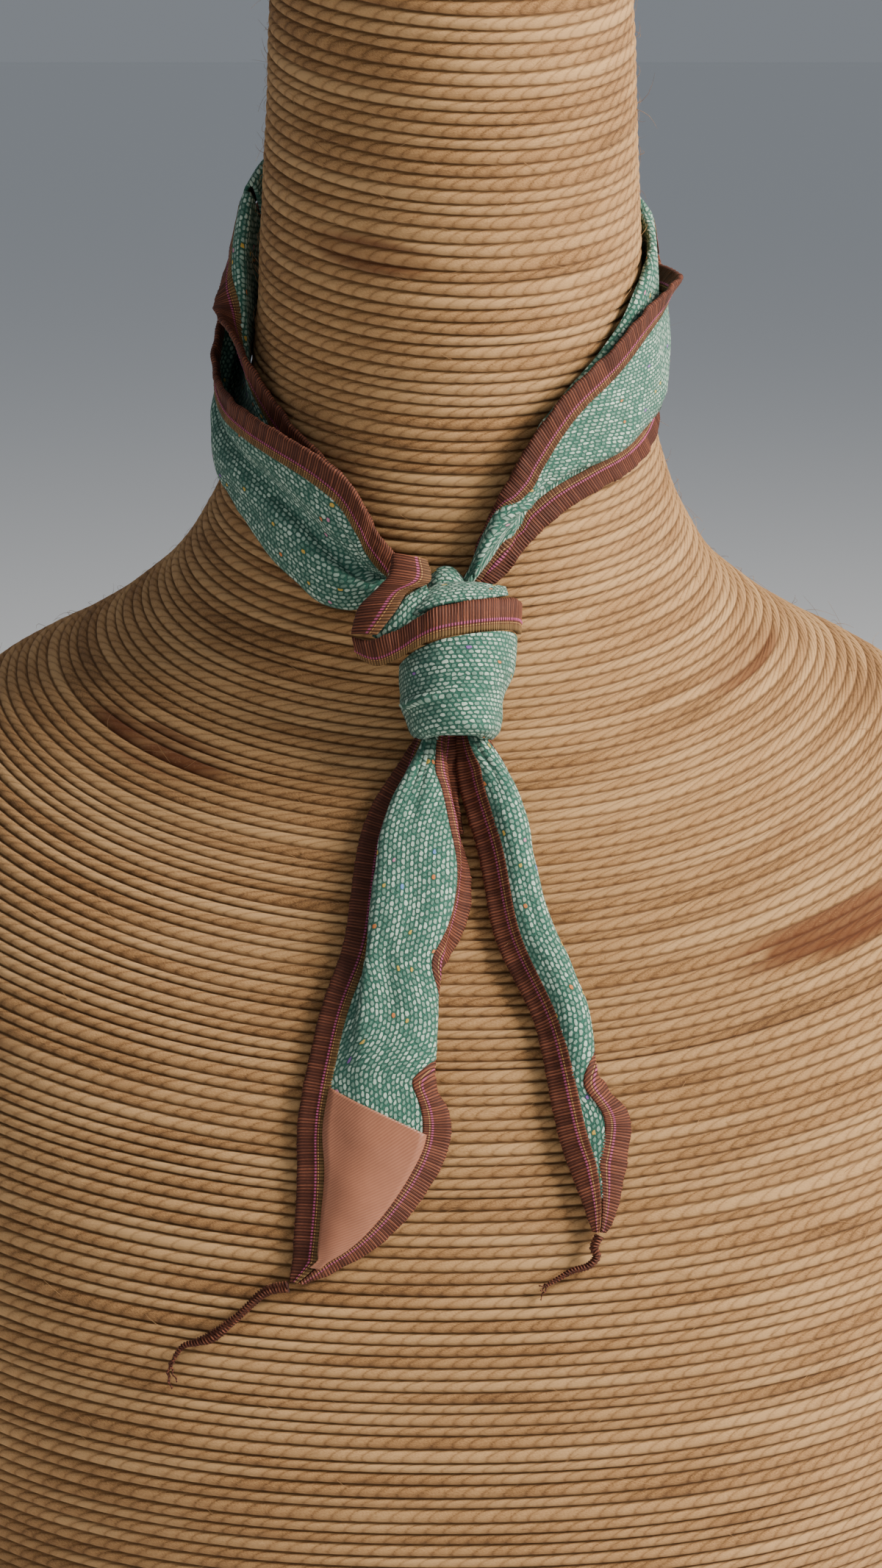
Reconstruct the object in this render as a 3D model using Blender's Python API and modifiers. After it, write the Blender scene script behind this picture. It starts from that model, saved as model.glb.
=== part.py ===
"""Neck scarf tied once round a limbless display form.

The scarf is one strip of tweed with a wide overlocked edge, folded lengthwise,
wound round the neck of the form and knotted in front. Every stretch that shows
is a thin wall laid on the form's own surface. Lengths in the tables are in
millimetres and angles in degrees, with heights over a level BASE_DEPTH above
the base; the meshes are in metres, +Z up, and the middle of the base is the
origin. The front faces -Y.
"""
import math

import bmesh
import bpy
from mathutils import Vector
from mathutils.bvhtree import BVHTree

for item in list(bpy.data.objects):
    bpy.data.objects.remove(item)
collection = bpy.data.collections.new("neck_scarf")
bpy.context.scene.collection.children.link(collection)

MM = 0.001

# Driving dimensions of the cloth
CLOTH_WALL = 1.3
EDGE_WALL = 1.7
EDGE_WIDTH = 8.6
SEAM_GAP = 0.7
BEND_GAP = 1.1
SEAM_REACH = 1.8
LABEL_WALL = 1.0
LABEL_LIFT = 1.7
LABEL_SPAN = (0.665, 0.915)
LABEL_SLANT = 0.065
LABEL_POINT = 2.6
LEAST_CLOTH = 1.6
EDGE_SHARE = 0.3
POINT_SHARE = 0.5
STRIP_CROWN = 1.2
OUTER_LIFT = 8.2
FULL_LIFT = 11.0
INNER_LIFT = 1.95
CREASE_DEPTH = 3.4
LOWER_EDGE_SHOWS = 9.6
LEAST_REACH = 20.0
LOWEST_LIFT = 1.15
SIDE_START = 0.3
SIDE_SPAN = 0.4
TURNED_OVER = 10.0
BRIM = 0.7
LEAST_FOLD = 0.72
FOLD_RISE = 3.0
STACK = 0.86
POINT_WIDTH = 24.0
POINT_RISE = 0.75

# Mesh fineness
FORM_RINGS = 27
FORM_SIDES = 36
GUIDE_RINGS = 150
GUIDE_SIDES = 180
PROBE = 1.5
SECTION_SAMPLES = 64
EDGE_COLUMNS = 4
NECK_ROWS = 20
BACK_ROWS = 14
LEFT_COLUMNS = 16
RIGHT_COLUMNS = 17
LEFT_TAIL_ROWS = 29
LEFT_TAIL_COLUMNS = 16
RIGHT_TAIL_ROWS = 27
RIGHT_TAIL_COLUMNS = 12
LABEL_ROWS = 10
LABEL_COLUMNS = 5
WRAP_RINGS = 10
WRAP_COLUMNS = 17
KNOT_EDGE_ROWS = 20
LIP_ROWS = 11
LIP_COLUMNS = 5
FOLD_ROWS = 12
FOLD_COLUMNS = 4
TUCK_ROWS = 7
TUCK_COLUMNS = 5
GUIDE_REACH = 400.0

# Rings of the display form, from its neck's top down to its base.
# Columns: height at the side, at the front and at the back, half width,
# reach to the front and to the back, centre along Y, squareness, centre along X
FORM = (
    (465.0, 452.0, 478.0, 47.0, 46.0, 46.0, -13.5, 2.0, 2.5),
    (460.0, 447.0, 473.0, 52.5, 51.0, 51.0, -12.5, 2.0, 2.5),
    (431.0, 417.0, 444.0, 54.5, 53.0, 53.0, -5.5, 2.0, 2.5),
    (398.0, 383.0, 410.0, 56.3, 54.5, 55.0, 2.5, 2.0, 2.5),
    (366.0, 350.0, 379.0, 58.6, 56.0, 57.0, 9.5, 2.0, 2.2),
    (343.0, 324.0, 358.0, 59.8, 57.0, 60.0, 15.5, 2.0, 2.0),
    (322.0, 294.0, 334.0, 62.8, 59.0, 64.0, 21.5, 2.0, 1.5),
    (296.0, 266.0, 312.0, 69.6, 64.0, 70.0, 27.5, 2.0, 1.0),
    (276.0, 244.0, 291.0, 79.0, 72.0, 79.0, 33.5, 2.0, 0.5),
    (259.0, 222.0, 272.0, 91.0, 86.0, 88.0, 35.5, 2.0, 0.0),
    (246.0, 200.0, 255.0, 108.0, 102.0, 96.0, 36.5, 2.0, 0.0),
    (237.0, 178.0, 240.0, 123.0, 117.0, 102.0, 36.5, 2.05, 0.0),
    (230.0, 154.0, 224.0, 138.0, 132.0, 107.0, 36.5, 2.1, 0.0),
    (219.0, 130.0, 205.0, 155.0, 146.0, 111.0, 36.5, 2.2, 0.0),
    (198.0, 104.0, 180.0, 171.0, 158.0, 113.0, 36.5, 2.3, 0.0),
    (164.0, 78.0, 147.0, 182.0, 168.0, 113.0, 36.5, 2.35, 0.0),
    (116.0, 52.0, 106.0, 187.0, 176.0, 112.0, 36.5, 2.4, 0.0),
    (66.0, 26.0, 58.0, 188.0, 182.0, 110.0, 36.5, 2.4, 0.0),
    (-20.0, -20.0, -20.0, 187.0, 187.0, 108.0, 36.5, 2.4, 0.0),
)
BASE_DEPTH = 20.0

# Sections of the left stretch, from the knot round to the side of the neck.
# Columns: turn and height of the fold below, turn and height of the outer rim,
# lift of the rim, rise of the inner layer past the outer rim, its lift there,
# how far the inner rim is turned over to the outside
LEFT_STRETCH = (
    (-14.5, 263.5, -11.0, 279.0, 8.0, -3.0, 4.0, 0.0),
    (-19.5, 261.5, -16.0, 287.5, 10.0, -3.5, 4.0, 0.0),
    (-24.0, 261.0, -18.5, 294.0, 11.0, -4.0, 4.0, 0.0),
    (-31.0, 264.2, -23.5, 302.4, 11.0, -4.0, 4.0, 0.0),
    (-39.5, 271.5, -32.5, 309.3, 11.0, -3.0, 3.5, 0.0),
    (-50.0, 280.0, -43.0, 314.0, 11.0, -0.5, 3.5, 0.0),
    (-62.0, 288.5, -55.0, 318.0, 11.0, 4.0, 3.5, 0.0),
    (-75.0, 296.5, -68.0, 322.3, 11.5, 9.5, 4.8, 0.06),
    (-88.0, 308.0, -81.0, 330.0, 12.3, 14.0, 4.6, 0.28),
    (-101.0, 325.0, -94.0, 346.0, 11.0, 15.0, 4.4, 0.8),
    (-113.0, 342.0, -107.0, 364.0, 9.5, 16.0, 4.8, 1.0),
)

# Sections of the stretch behind the neck, from its left side to its right one.
# The columns are those of the left stretch.
BACK_STRETCH = (
    (-114.5, 343.5, -108.8, 366.0, 9.8, 16.0, 4.6, 1.0),
    (-132.0, 356.0, -128.0, 381.0, 11.4, 13.0, 4.0, 1.0),
    (-155.0, 364.0, -154.0, 390.0, 11.4, 9.0, 4.0, 1.0),
    (-180.0, 367.0, -180.0, 394.0, 11.4, 8.0, 4.0, 1.0),
    (-206.0, 366.0, -206.0, 392.0, 11.4, 8.0, 4.0, 1.0),
    (-230.0, 356.0, -231.0, 378.0, 10.8, 8.0, 4.0, 1.0),
    (-248.0, 341.0, -250.5, 360.0, 9.8, 14.0, 4.0, 1.0),
)

# Sections of the right stretch, from the knot round to the side of the neck.
# Columns: turn and height of the lower rim, turn and height of the upper rim,
# lift of the upper rim, rise of the inner fold past the upper rim,
# how far the layers are folded over one another
RIGHT_STRETCH = (
    (11.5, 268.0, 6.0, 273.5, 4.5, -1.0, 0.0),
    (16.1, 273.8, 8.1, 281.8, 4.5, -1.5, 0.0),
    (19.4, 279.0, 11.0, 291.3, 5.0, -2.0, 0.1),
    (25.4, 285.3, 14.8, 301.5, 6.0, -2.5, 0.8),
    (33.1, 290.9, 20.0, 313.5, 7.5, -3.0, 1.0),
    (44.3, 295.6, 29.4, 327.2, 8.0, -3.0, 1.0),
    (59.0, 300.3, 43.5, 338.5, 8.0, -2.0, 1.0),
    (75.0, 308.2, 60.0, 350.0, 8.5, 0.5, 1.0),
    (88.0, 320.0, 78.0, 356.5, 11.5, 5.0, 1.0),
    (100.0, 331.0, 92.0, 356.5, 12.0, 11.0, 1.0),
    (108.0, 340.0, 105.0, 358.0, 9.0, 16.0, 1.0),
)

# Sections of the left tail, from under the knot down to its point.
# Columns: height and X of the left rim, height and X of the right contour,
# how far its left side and its right side have opened out flat, lift of its middle,
# how far the rim that is folded under shows past the right contour
LEFT_TAIL = (
    (230.6, -3.6, 230.6, 1.5, 1.0, 1.0, 8.0, 0.0),
    (222.0, -8.2, 222.5, 0.5, 1.0, 0.95, 9.0, -2.0),
    (212.0, -16.0, 211.0, 1.5, 0.6, 0.3, 11.0, -4.0),
    (202.0, -23.0, 200.0, 3.6, 0.15, 0.0, 11.0, 0.0),
    (191.0, -25.5, 189.0, 5.0, 0.0, 0.0, 11.0, 3.5),
    (180.0, -27.0, 177.5, 2.5, 0.1, 0.0, 11.0, 5.5),
    (167.5, -28.7, 165.0, -1.0, 0.3, 0.0, 10.5, 2.0),
    (157.5, -34.0, 152.0, -2.5, 0.7, 0.0, 9.8, -11.0),
    (146.0, -37.0, 140.0, -2.0, 0.95, 0.15, 8.5, -11.0),
    (134.0, -40.0, 131.0, 1.5, 1.0, 0.95, 7.0, -4.0),
    (123.0, -42.0, 121.0, 3.0, 1.0, 1.0, 6.5, 0.0),
    (112.0, -41.3, 111.0, -1.8, 1.0, 1.0, 6.0, 0.0),
    (101.0, -42.0, 99.5, -10.5, 1.0, 1.0, 5.5, 0.0),
    (92.0, -42.5, 91.5, -20.0, 1.0, 1.0, 5.0, 0.0),
    (86.0, -43.0, 85.8, -32.0, 1.0, 1.0, 4.5, 0.0),
    (83.0, -43.4, 83.4, -38.6, 1.0, 1.0, 4.2, 0.0),
)

# Sections of the right tail, with the columns of the left one.
RIGHT_TAIL = (
    (230.6, 5.2, 230.6, 11.2, 1.0, 1.0, 7.5, 0.0),
    (222.0, 3.6, 222.0, 14.6, 0.6, 0.5, 8.5, -4.0),
    (212.0, 4.0, 212.5, 19.6, 0.0, 0.1, 10.0, -11.0),
    (202.5, 7.0, 203.5, 22.8, 0.0, 0.0, 9.5, -11.0),
    (191.5, 10.8, 192.5, 25.2, 0.0, 0.0, 9.0, -10.5),
    (180.5, 12.5, 181.0, 28.3, 0.0, 0.0, 9.0, -11.0),
    (171.0, 14.8, 170.5, 32.3, 0.0, 0.0, 9.0, -11.0),
    (161.5, 19.8, 160.0, 38.5, 0.0, 0.0, 9.0, -11.0),
    (150.5, 26.3, 147.5, 42.2, 0.1, 0.0, 8.5, -10.0),
    (137.0, 29.2, 137.0, 45.0, 0.4, 0.3, 7.5, -7.0),
    (127.0, 31.2, 127.3, 53.2, 1.0, 1.0, 6.5, 0.0),
    (120.5, 32.8, 120.5, 53.2, 1.0, 1.0, 6.0, 0.0),
    (112.5, 35.8, 112.0, 51.6, 1.0, 1.0, 5.5, 0.0),
    (104.5, 39.2, 104.0, 49.9, 1.0, 1.0, 5.0, 0.0),
    (99.0, 41.0, 98.5, 47.6, 1.0, 1.0, 4.5, 0.0),
    (96.4, 42.2, 96.2, 45.8, 1.0, 1.0, 4.2, 0.0),
)

# The knot's own frame: a point on the form and the slope of its face
KNOT_CENTRE = (4.0, -40.0, 246.0)
KNOT_SLOPE = 20.0

# Rings of the knot's wrap, from its lower edge up.
# Columns: rise, centre along X, half width, reach in front
KNOT_WRAP = (
    (-24.5, -0.2, 13.8, 17.6),
    (-22.5, -0.2, 14.2, 19.8),
    (-17.0, -0.3, 14.6, 22.0),
    (-11.5, -0.8, 15.4, 22.4),
    (-7.0, -0.1, 16.2, 23.6),
    (-2.0, 0.2, 16.8, 24.0),
    (3.0, 0.5, 17.0, 23.4),
)
KNOT_SWEEP = 88.0
KNOT_SQUARE = 0.85
KNOT_BASE = 2.8

# The overlocked edge along the wrap's top, from its right end to the lip's tip.
# Columns: X, rise and reach of the outer rim, then of the inner rim
KNOT_EDGE = (
    (18.8, 17.0, 5.0, 18.6, 7.2, 5.0),
    (17.4, 16.6, 13.0, 17.0, 7.0, 13.0),
    (12.4, 15.6, 20.0, 12.2, 6.0, 19.8),
    (5.0, 14.0, 25.0, 5.0, 4.6, 24.6),
    (-4.6, 11.8, 27.0, -4.7, 2.8, 26.4),
    (-11.1, 8.9, 25.5, -11.1, 0.7, 24.4),
    (-17.6, 5.4, 23.0, -16.8, -2.2, 21.0),
    (-25.2, 3.0, 20.5, -23.4, -3.9, 17.5),
    (-30.6, 4.4, 16.8, -29.2, -0.8, 15.5),
)

# The lip where that edge turns back up on the left of the knot.
# The columns are those of the knot's edge.
KNOT_LIP = (
    (-31.0, 5.2, 17.4, -23.4, 4.2, 21.6),
    (-29.8, 10.6, 20.0, -17.9, 11.0, 23.5),
    (-25.3, 16.4, 21.5, -14.2, 17.0, 22.5),
    (-20.0, 21.8, 22.0, -8.0, 20.2, 21.0),
    (-19.2, 28.6, 20.0, -9.0, 26.8, 18.5),
)

# The fold of cloth that shows above the wrap's edge, from its left to its right.
KNOT_FOLD = (
    (-14.5, 8.8, 20.4, -13.6, 13.4, 16.2),
    (-10.5, 10.7, 23.9, -10.0, 17.0, 17.2),
    (-4.6, 12.5, 25.4, -4.8, 20.0, 16.4),
    (5.0, 14.4, 23.4, 4.6, 20.8, 14.4),
    (11.2, 16.1, 18.3, 10.8, 20.6, 11.2),
    (14.8, 17.8, 11.0, 14.4, 20.8, 7.0),
)

# The small tuck of cloth between the two stretches, above that fold.
KNOT_TUCK = (
    (-8.0, 18.7, 12.6, -8.4, 22.4, 8.8),
    (-5.5, 19.4, 14.2, -5.4, 26.0, 9.4),
    (-1.5, 19.4, 14.1, -1.4, 26.2, 9.4),
    (1.6, 19.0, 12.8, 2.0, 22.6, 8.8),
)

# Rings of the layers packed inside the knot.
# Columns: rise, half width, half depth
KNOT_CORE = (
    (-10.6, 9.0, 5.5),
    (-8.5, 12.4, 8.0),
    (-3.0, 14.6, 9.6),
    (4.0, 14.2, 9.4),
    (9.0, 11.0, 6.6),
    (11.0, 6.4, 3.4),
)
CORE_REACH = 11.5
CORE_SIDES = 14

# Thread tails at the two points of the scarf.
# Columns: X, height, lift and radius
LEFT_THREAD = (
    (-43.6, 82.2, 4.2, 1.6),
    (-50.0, 80.6, 3.6, 1.5),
    (-57.5, 74.0, 3.2, 1.25),
    (-64.6, 68.3, 3.2, 1.7),
    (-69.3, 66.2, 3.0, 1.1),
    (-73.8, 64.4, 2.6, 0.8),
    (-77.3, 58.7, 2.2, 0.5),
    (-76.6, 54.6, 1.9, 0.35),
)
RIGHT_THREAD = (
    (43.9, 95.4, 4.2, 1.3),
    (42.4, 92.4, 3.8, 1.2),
    (43.2, 89.9, 3.4, 1.1),
    (40.8, 87.6, 3.2, 1.0),
    (36.4, 86.4, 2.8, 0.9),
    (31.5, 84.0, 2.4, 0.7),
    (25.8, 81.0, 2.0, 0.4),
)
THREAD_SIDES = 6
THREAD_STEPS = 3

# Finishes.
# Columns: colour and roughness
MATERIALS = {
    "rope": ((0.42, 0.25, 0.12), 0.9),
    "tweed": ((0.11, 0.27, 0.22), 0.9),
    "edge": ((0.20, 0.07, 0.05), 0.7),
    "satin": ((0.52, 0.27, 0.20), 0.5),
}


def spline(rows, place):
    """Reads a table between its rows, along a smooth curve through them."""
    last = len(rows) - 1
    place = min(max(place, 0.0), float(last))
    index = min(int(place), last - 1)
    part = place - index
    before = rows[max(index - 1, 0)]
    start = rows[index]
    end = rows[index + 1]
    after = rows[min(index + 2, last)]
    square = part * part
    cube = square * part
    values = []
    for a, b, c, d in zip(before, start, end, after):
        slope_start = (c - a) / 2
        slope_end = (d - b) / 2
        value = (2 * cube - 3 * square + 1) * b
        value += (cube - 2 * square + part) * slope_start
        value += (3 * square - 2 * cube) * c
        value += (cube - square) * slope_end
        values.append(value)
    return values


def form_ring(place, sides):
    """One ring of the form: an oval that dips in front and behind."""
    side, front, back, width, reach, depth, centre_y, square, centre_x = spline(FORM, place)
    lean = (front - back) / 2
    fall = (front + back) / 2 - side
    power = 2 / square
    ring = []
    for step in range(sides):
        turn = 2 * math.pi * step / sides
        sine = math.sin(turn)
        cosine = math.cos(turn)
        across = math.copysign(abs(sine) ** power, sine)
        along = math.copysign(abs(cosine) ** power, cosine)
        reached = reach if cosine > 0 else depth
        x = centre_x + width * across
        y = centre_y - reached * along
        z = side + lean * cosine + fall * cosine * cosine
        ring.append(Vector((x, y, z)))
    return ring


def form_rings(count, sides):
    last = len(FORM) - 1
    return [form_ring(last * step / (count - 1), sides) for step in range(count)]


def guide_tree():
    """The form's surface, fine enough to lay the cloth on."""
    rings = form_rings(GUIDE_RINGS, GUIDE_SIDES)
    points = [point for ring in rings for point in ring]
    faces = []
    for row in range(GUIDE_RINGS - 1):
        for step in range(GUIDE_SIDES):
            other = (step + 1) % GUIDE_SIDES
            a = row * GUIDE_SIDES
            b = a + GUIDE_SIDES
            faces.append((a + step, a + other, b + other, b + step))
    return BVHTree.FromPolygons(points, faces)


GUIDE = guide_tree()
NECK_HEIGHTS = [(row[0], row[6], row[8]) for row in reversed(FORM)]


def neck_axis(height):
    """The middle of the neck at a height."""
    for low, high in zip(NECK_HEIGHTS, NECK_HEIGHTS[1:]):
        if height <= high[0]:
            part = (height - low[0]) / (high[0] - low[0])
            return low[2] + (high[2] - low[2]) * part, low[1] + (high[1] - low[1]) * part
    return NECK_HEIGHTS[-1][2], NECK_HEIGHTS[-1][1]


def neck_point(turn, height):
    x, y = neck_axis(height)
    angle = math.radians(turn)
    aim = Vector((math.sin(angle), -math.cos(angle), 0))
    return GUIDE.ray_cast(Vector((x, y, height)), aim)[0]


def chest_point(x, height):
    start = Vector((x, -GUIDE_REACH, height))
    return GUIDE.ray_cast(start, Vector((0, 1, 0)))[0]


def lay_on_neck(turn, height, lift):
    """A point at a lift over the neck, at a turn from its front and a height."""
    here = neck_point(turn, height)
    side = neck_point(turn + PROBE, height) - neck_point(turn - PROBE, height)
    rise = neck_point(turn, height + PROBE) - neck_point(turn, height - PROBE)
    return here + side.cross(rise).normalized() * lift


def lay_on_chest(x, height, lift):
    """A point at a lift over the chest, seen from the front."""
    here = chest_point(x, height)
    side = chest_point(x + PROBE, height) - chest_point(x - PROBE, height)
    rise = chest_point(x, height + PROBE) - chest_point(x, height - PROBE)
    return here + side.cross(rise).normalized() * lift


def smooth_run(points, samples):
    """Many points on a smooth curve through a few."""
    last = len(points) - 1
    return [spline(points, last * step / samples) for step in range(samples + 1)]


def resample(points, start, end, count):
    """Points at even lengths between two lengths along a polyline."""
    lengths = [0.0]
    for a, b in zip(points, points[1:]):
        lengths.append(lengths[-1] + (b - a).length)
    total = lengths[-1]
    low = start if start >= 0 else total + start
    high = end if end > 0 else total + end
    result = []
    index = 0
    for step in range(count):
        wanted = low + (high - low) * step / (count - 1)
        wanted = min(max(wanted, 0.0), total)
        while index < len(lengths) - 2 and lengths[index + 1] < wanted:
            index += 1
        span = lengths[index + 1] - lengths[index]
        part = (wanted - lengths[index]) / span if span > 0 else 0.0
        result.append(points[index].lerp(points[index + 1], part))
    return result


def left_section(row):
    """A strip folded in two, open at the top: outer layer, fold, inner layer.

    Each point of the shape is a part of the way up to the outer rim, and a lift.
    """
    low_turn, low_height, rim_turn, rim_height, rim_lift, rise, inner_lift, turned = row
    full = min(1.0, rim_lift / FULL_LIFT)
    outer = OUTER_LIFT * full
    top = 1.0 + rise / (rim_height - low_height)
    over = min(TURNED_OVER / (rim_height - low_height), top - LEAST_FOLD)
    fold = top - over * (1.0 - turned)
    fold_lift = INNER_LIFT + (inner_lift - INNER_LIFT) * (0.6 + 0.4 * turned)
    lean = TURNED_OVER * BRIM * math.sin(math.pi * turned)
    reach = over * math.cos(math.pi * turned)
    shape = (
        (1.0, rim_lift),
        (0.93, rim_lift - 0.2),
        (0.86, outer + 2.5),
        (0.78, outer + 2.4),
        (0.62, outer + 1.8),
        (0.47, outer + 1.4 - CREASE_DEPTH * full),
        (0.30, outer + 1.0),
        (0.08, outer - 0.6),
        (0.0, 5.4),
        (0.08, 3.0),
        (0.35, INNER_LIFT),
        ((0.35 + fold) / 2, INNER_LIFT),
        (fold, fold_lift),
        (fold + reach * 0.1, fold_lift + FOLD_RISE * turned + lean * 0.1),
        (fold + reach, inner_lift + (FOLD_RISE + 1.0) * turned + lean),
    )
    return neck_section(shape, low_turn, low_height, rim_turn, rim_height)


def right_section(row):
    """A strip folded in three: outer layer, middle layer and inner layer.

    Each layer's points are a part of the way up to the upper rim, and a lift.
    """
    low_turn, low_height, rim_turn, rim_height, rim_lift, rise, folded = row
    reach = rim_height - low_height
    top = 1.0 + rise / reach
    fold = LOWER_EDGE_SHOWS / max(reach, LEAST_REACH)
    layers = (
        (1.0, rim_lift / STACK),
        (0.8, 8.8),
        (0.6, 8.6),
        (fold + 0.1, 8.0),
        (fold, 6.6),
        (fold + 0.1, 5.2),
        (0.7, 4.9),
        (top - 0.06, 5.0),
        (top, 3.7),
        (top - 0.06, 2.3),
        (0.6, 2.0),
        (0.3, 2.0),
        (0.0, 2.6),
    )
    shape = []
    for index, (part, lift) in enumerate(layers):
        single = 1.0 - index / (len(layers) - 1)
        shape.append((single + (part - single) * folded, lift * STACK))
    return neck_section(shape, low_turn, low_height, rim_turn, rim_height)


def neck_section(shape, low_turn, low_height, rim_turn, rim_height):
    points = []
    for part, lift in smooth_run(shape, SECTION_SAMPLES):
        turn = low_turn + (rim_turn - low_turn) * part
        height = low_height + (rim_height - low_height) * part
        points.append(lay_on_neck(turn, height, lift))
    return points


def tail_section(row, folded, opened):
    """A tail's section, part way between its folded shape and its open one."""
    left_height, left_x, right_height, right_x, left_open, right_open, lift, peek = row
    width = right_x - left_x
    last = len(folded) - 1
    full = min(1.0, width / POINT_WIDTH)
    shape = []
    for index, (shut, flat) in enumerate(zip(folded, opened)):
        side = min(max((index / last - SIDE_START) / SIDE_SPAN, 0.0), 1.0)
        opening = left_open + (right_open - left_open) * side
        shut_part = shut[0]
        if index >= last - 1:
            shut_part = 1.0 + peek / width / (1 + last - index)
        part = shut_part + (flat[0] - shut_part) * opening
        flat_rise = POINT_RISE + (flat[1] - POINT_RISE) * full
        rise = shut[1] + (flat_rise - shut[1]) * opening
        shape.append((part, rise * lift))
    points = []
    for part, rise in smooth_run(shape, SECTION_SAMPLES):
        x = left_x + width * part
        height = left_height + (right_height - left_height) * part
        points.append(lay_on_chest(x, height, max(rise, LOWEST_LIFT)))
    return points


# Sections of the tails: part of the way across, and lift against the middle's
LEFT_FOLDED = (
    (0.0, 0.34), (0.16, 0.24), (0.32, 0.24), (0.42, 0.38), (0.34, 0.56), (0.24, 0.72),
    (0.26, 0.92), (0.42, 1.0), (0.66, 0.98), (0.86, 0.88), (0.98, 0.67), (1.0, 0.42),
    (0.9, 0.18), (0.8, 0.12),
)
LEFT_OPENED = (
    (0.0, 0.36), (0.1, 0.42), (0.2, 0.56), (0.28, 0.72), (0.34, 0.86), (0.4, 0.98),
    (0.47, 1.04), (0.55, 1.04), (0.64, 0.98), (0.73, 0.88), (0.81, 0.76), (0.88, 0.64),
    (0.94, 0.52), (1.0, 0.42),
)
RIGHT_FOLDED = (
    (0.0, 0.3), (0.22, 0.42), (0.44, 0.74), (0.66, 0.96), (0.86, 0.92), (0.99, 0.66),
    (0.94, 0.42), (0.78, 0.26), (0.62, 0.18), (0.46, 0.14),
)
RIGHT_OPENED = (
    (0.0, 0.4), (0.1, 0.54), (0.2, 0.7), (0.32, 0.84), (0.44, 0.94), (0.56, 0.98),
    (0.68, 0.92), (0.8, 0.8), (0.9, 0.64), (1.0, 0.46),
)


def left_tail_section(row):
    return tail_section(row, LEFT_FOLDED, LEFT_OPENED)


def right_tail_section(row):
    return tail_section(row, RIGHT_FOLDED, RIGHT_OPENED)


def lay_on_knot(x, rise, reach):
    """A point in the knot's frame: across, up along its face and out of it."""
    slope = math.radians(KNOT_SLOPE)
    up = Vector((0, math.sin(slope), math.cos(slope)))
    out = Vector((0, -math.cos(slope), math.sin(slope)))
    return Vector(KNOT_CENTRE) + Vector((x, 0, 0)) + up * rise + out * reach


def straight_section(row):
    """A strip of the knot between two rims, slightly crowned."""
    x_a, rise_a, reach_a, x_b, rise_b, reach_b = row
    points = []
    for step in range(SECTION_SAMPLES + 1):
        part = step / SECTION_SAMPLES
        crown = STRIP_CROWN * math.sin(math.pi * part)
        x = x_a + (x_b - x_a) * part
        rise = rise_a + (rise_b - rise_a) * part
        points.append(lay_on_knot(x, rise, reach_a + (reach_b - reach_a) * part + crown))
    return points


def sections(table, shape_of, count, first=0.0, last=1.0):
    """Sections at even steps along a table."""
    rows = []
    end = len(table) - 1
    for step in range(count):
        place = end * (first + (last - first) * step / (count - 1))
        rows.append(shape_of(spline(table, place)))
    return rows


def run_length(points):
    return sum((b - a).length for a, b in zip(points, points[1:]))


def edge_widths(rows, last_share):
    """The edge's width at each section, less where it is narrow or runs to a point."""
    widths = []
    for index, points in enumerate(rows):
        share = EDGE_SHARE + (last_share - EDGE_SHARE) * index / (len(rows) - 1)
        length = run_length(points)
        most = (length - LEAST_CLOTH) / 2 - SEAM_GAP
        widths.append(min(EDGE_WIDTH, share * length, most))
    return widths


def edge_strips(rows, last_share):
    """The edges along the first and the second rim of a strip."""
    first = []
    second = []
    for points, width in zip(rows, edge_widths(rows, last_share)):
        first.append(resample(points, 0.0, width, EDGE_COLUMNS))
        second.append(resample(points, -width, 0.0, EDGE_COLUMNS))
    return first, second


def seam_gap(points, place):
    """The gap at a seam, wider where the section bends there."""
    start = max(place - SEAM_REACH, 0.0)
    before, here, after = resample(points, start, place + SEAM_REACH, 3)
    bend = (here - before).angle(after - here, 0.0)
    return SEAM_GAP + BEND_GAP * bend


def cloth_strip(rows, last_share, count):
    """The cloth between the two edges."""
    strip = []
    for points, width in zip(rows, edge_widths(rows, last_share)):
        first = width + seam_gap(points, width)
        second = width + seam_gap(points, run_length(points) - width)
        strip.append(resample(points, first, -second, count))
    return strip


def ribbon(table, count, across):
    return [resample(row, 0.0, 0.0, across) for row in sections(table, straight_section, count)]


def new_material(name):
    colour, roughness = MATERIALS[name]
    material = bpy.data.materials.new(name)
    material.use_nodes = True
    shader = material.node_tree.nodes["Principled BSDF"]
    shader.inputs["Base Color"].default_value = (*colour, 1)
    shader.inputs["Roughness"].default_value = roughness
    shader.inputs["Metallic"].default_value = 0
    material.diffuse_color = (*colour, 1)
    return material


def raised(point):
    """A point of the tables in metres over the base."""
    return (point + Vector((0, 0, BASE_DEPTH))) * MM


def add_mesh(name, points, faces, finish):
    mesh = bpy.data.meshes.new(name)
    mesh.from_pydata([tuple(raised(point)) for point in points], [], faces)
    mesh.update()
    item = bpy.data.objects.new(name, mesh)
    collection.objects.link(item)
    mesh.materials.append(new_material(finish))
    mesh.shade_smooth()
    return item


def add_sheet(name, rows, wall, finish):
    """A thin wall on a grid of points: an open surface made solid both ways."""
    width = len(rows[0])
    points = [point for row in rows for point in row]
    faces = []
    for row in range(len(rows) - 1):
        for column in range(width - 1):
            a = row * width + column
            faces.append((a, a + 1, a + width + 1, a + width))
    item = add_mesh(name, points, faces, finish)
    solid = item.modifiers.new("wall", "SOLIDIFY")
    solid.thickness = wall * MM
    solid.offset = 0
    return item


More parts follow.
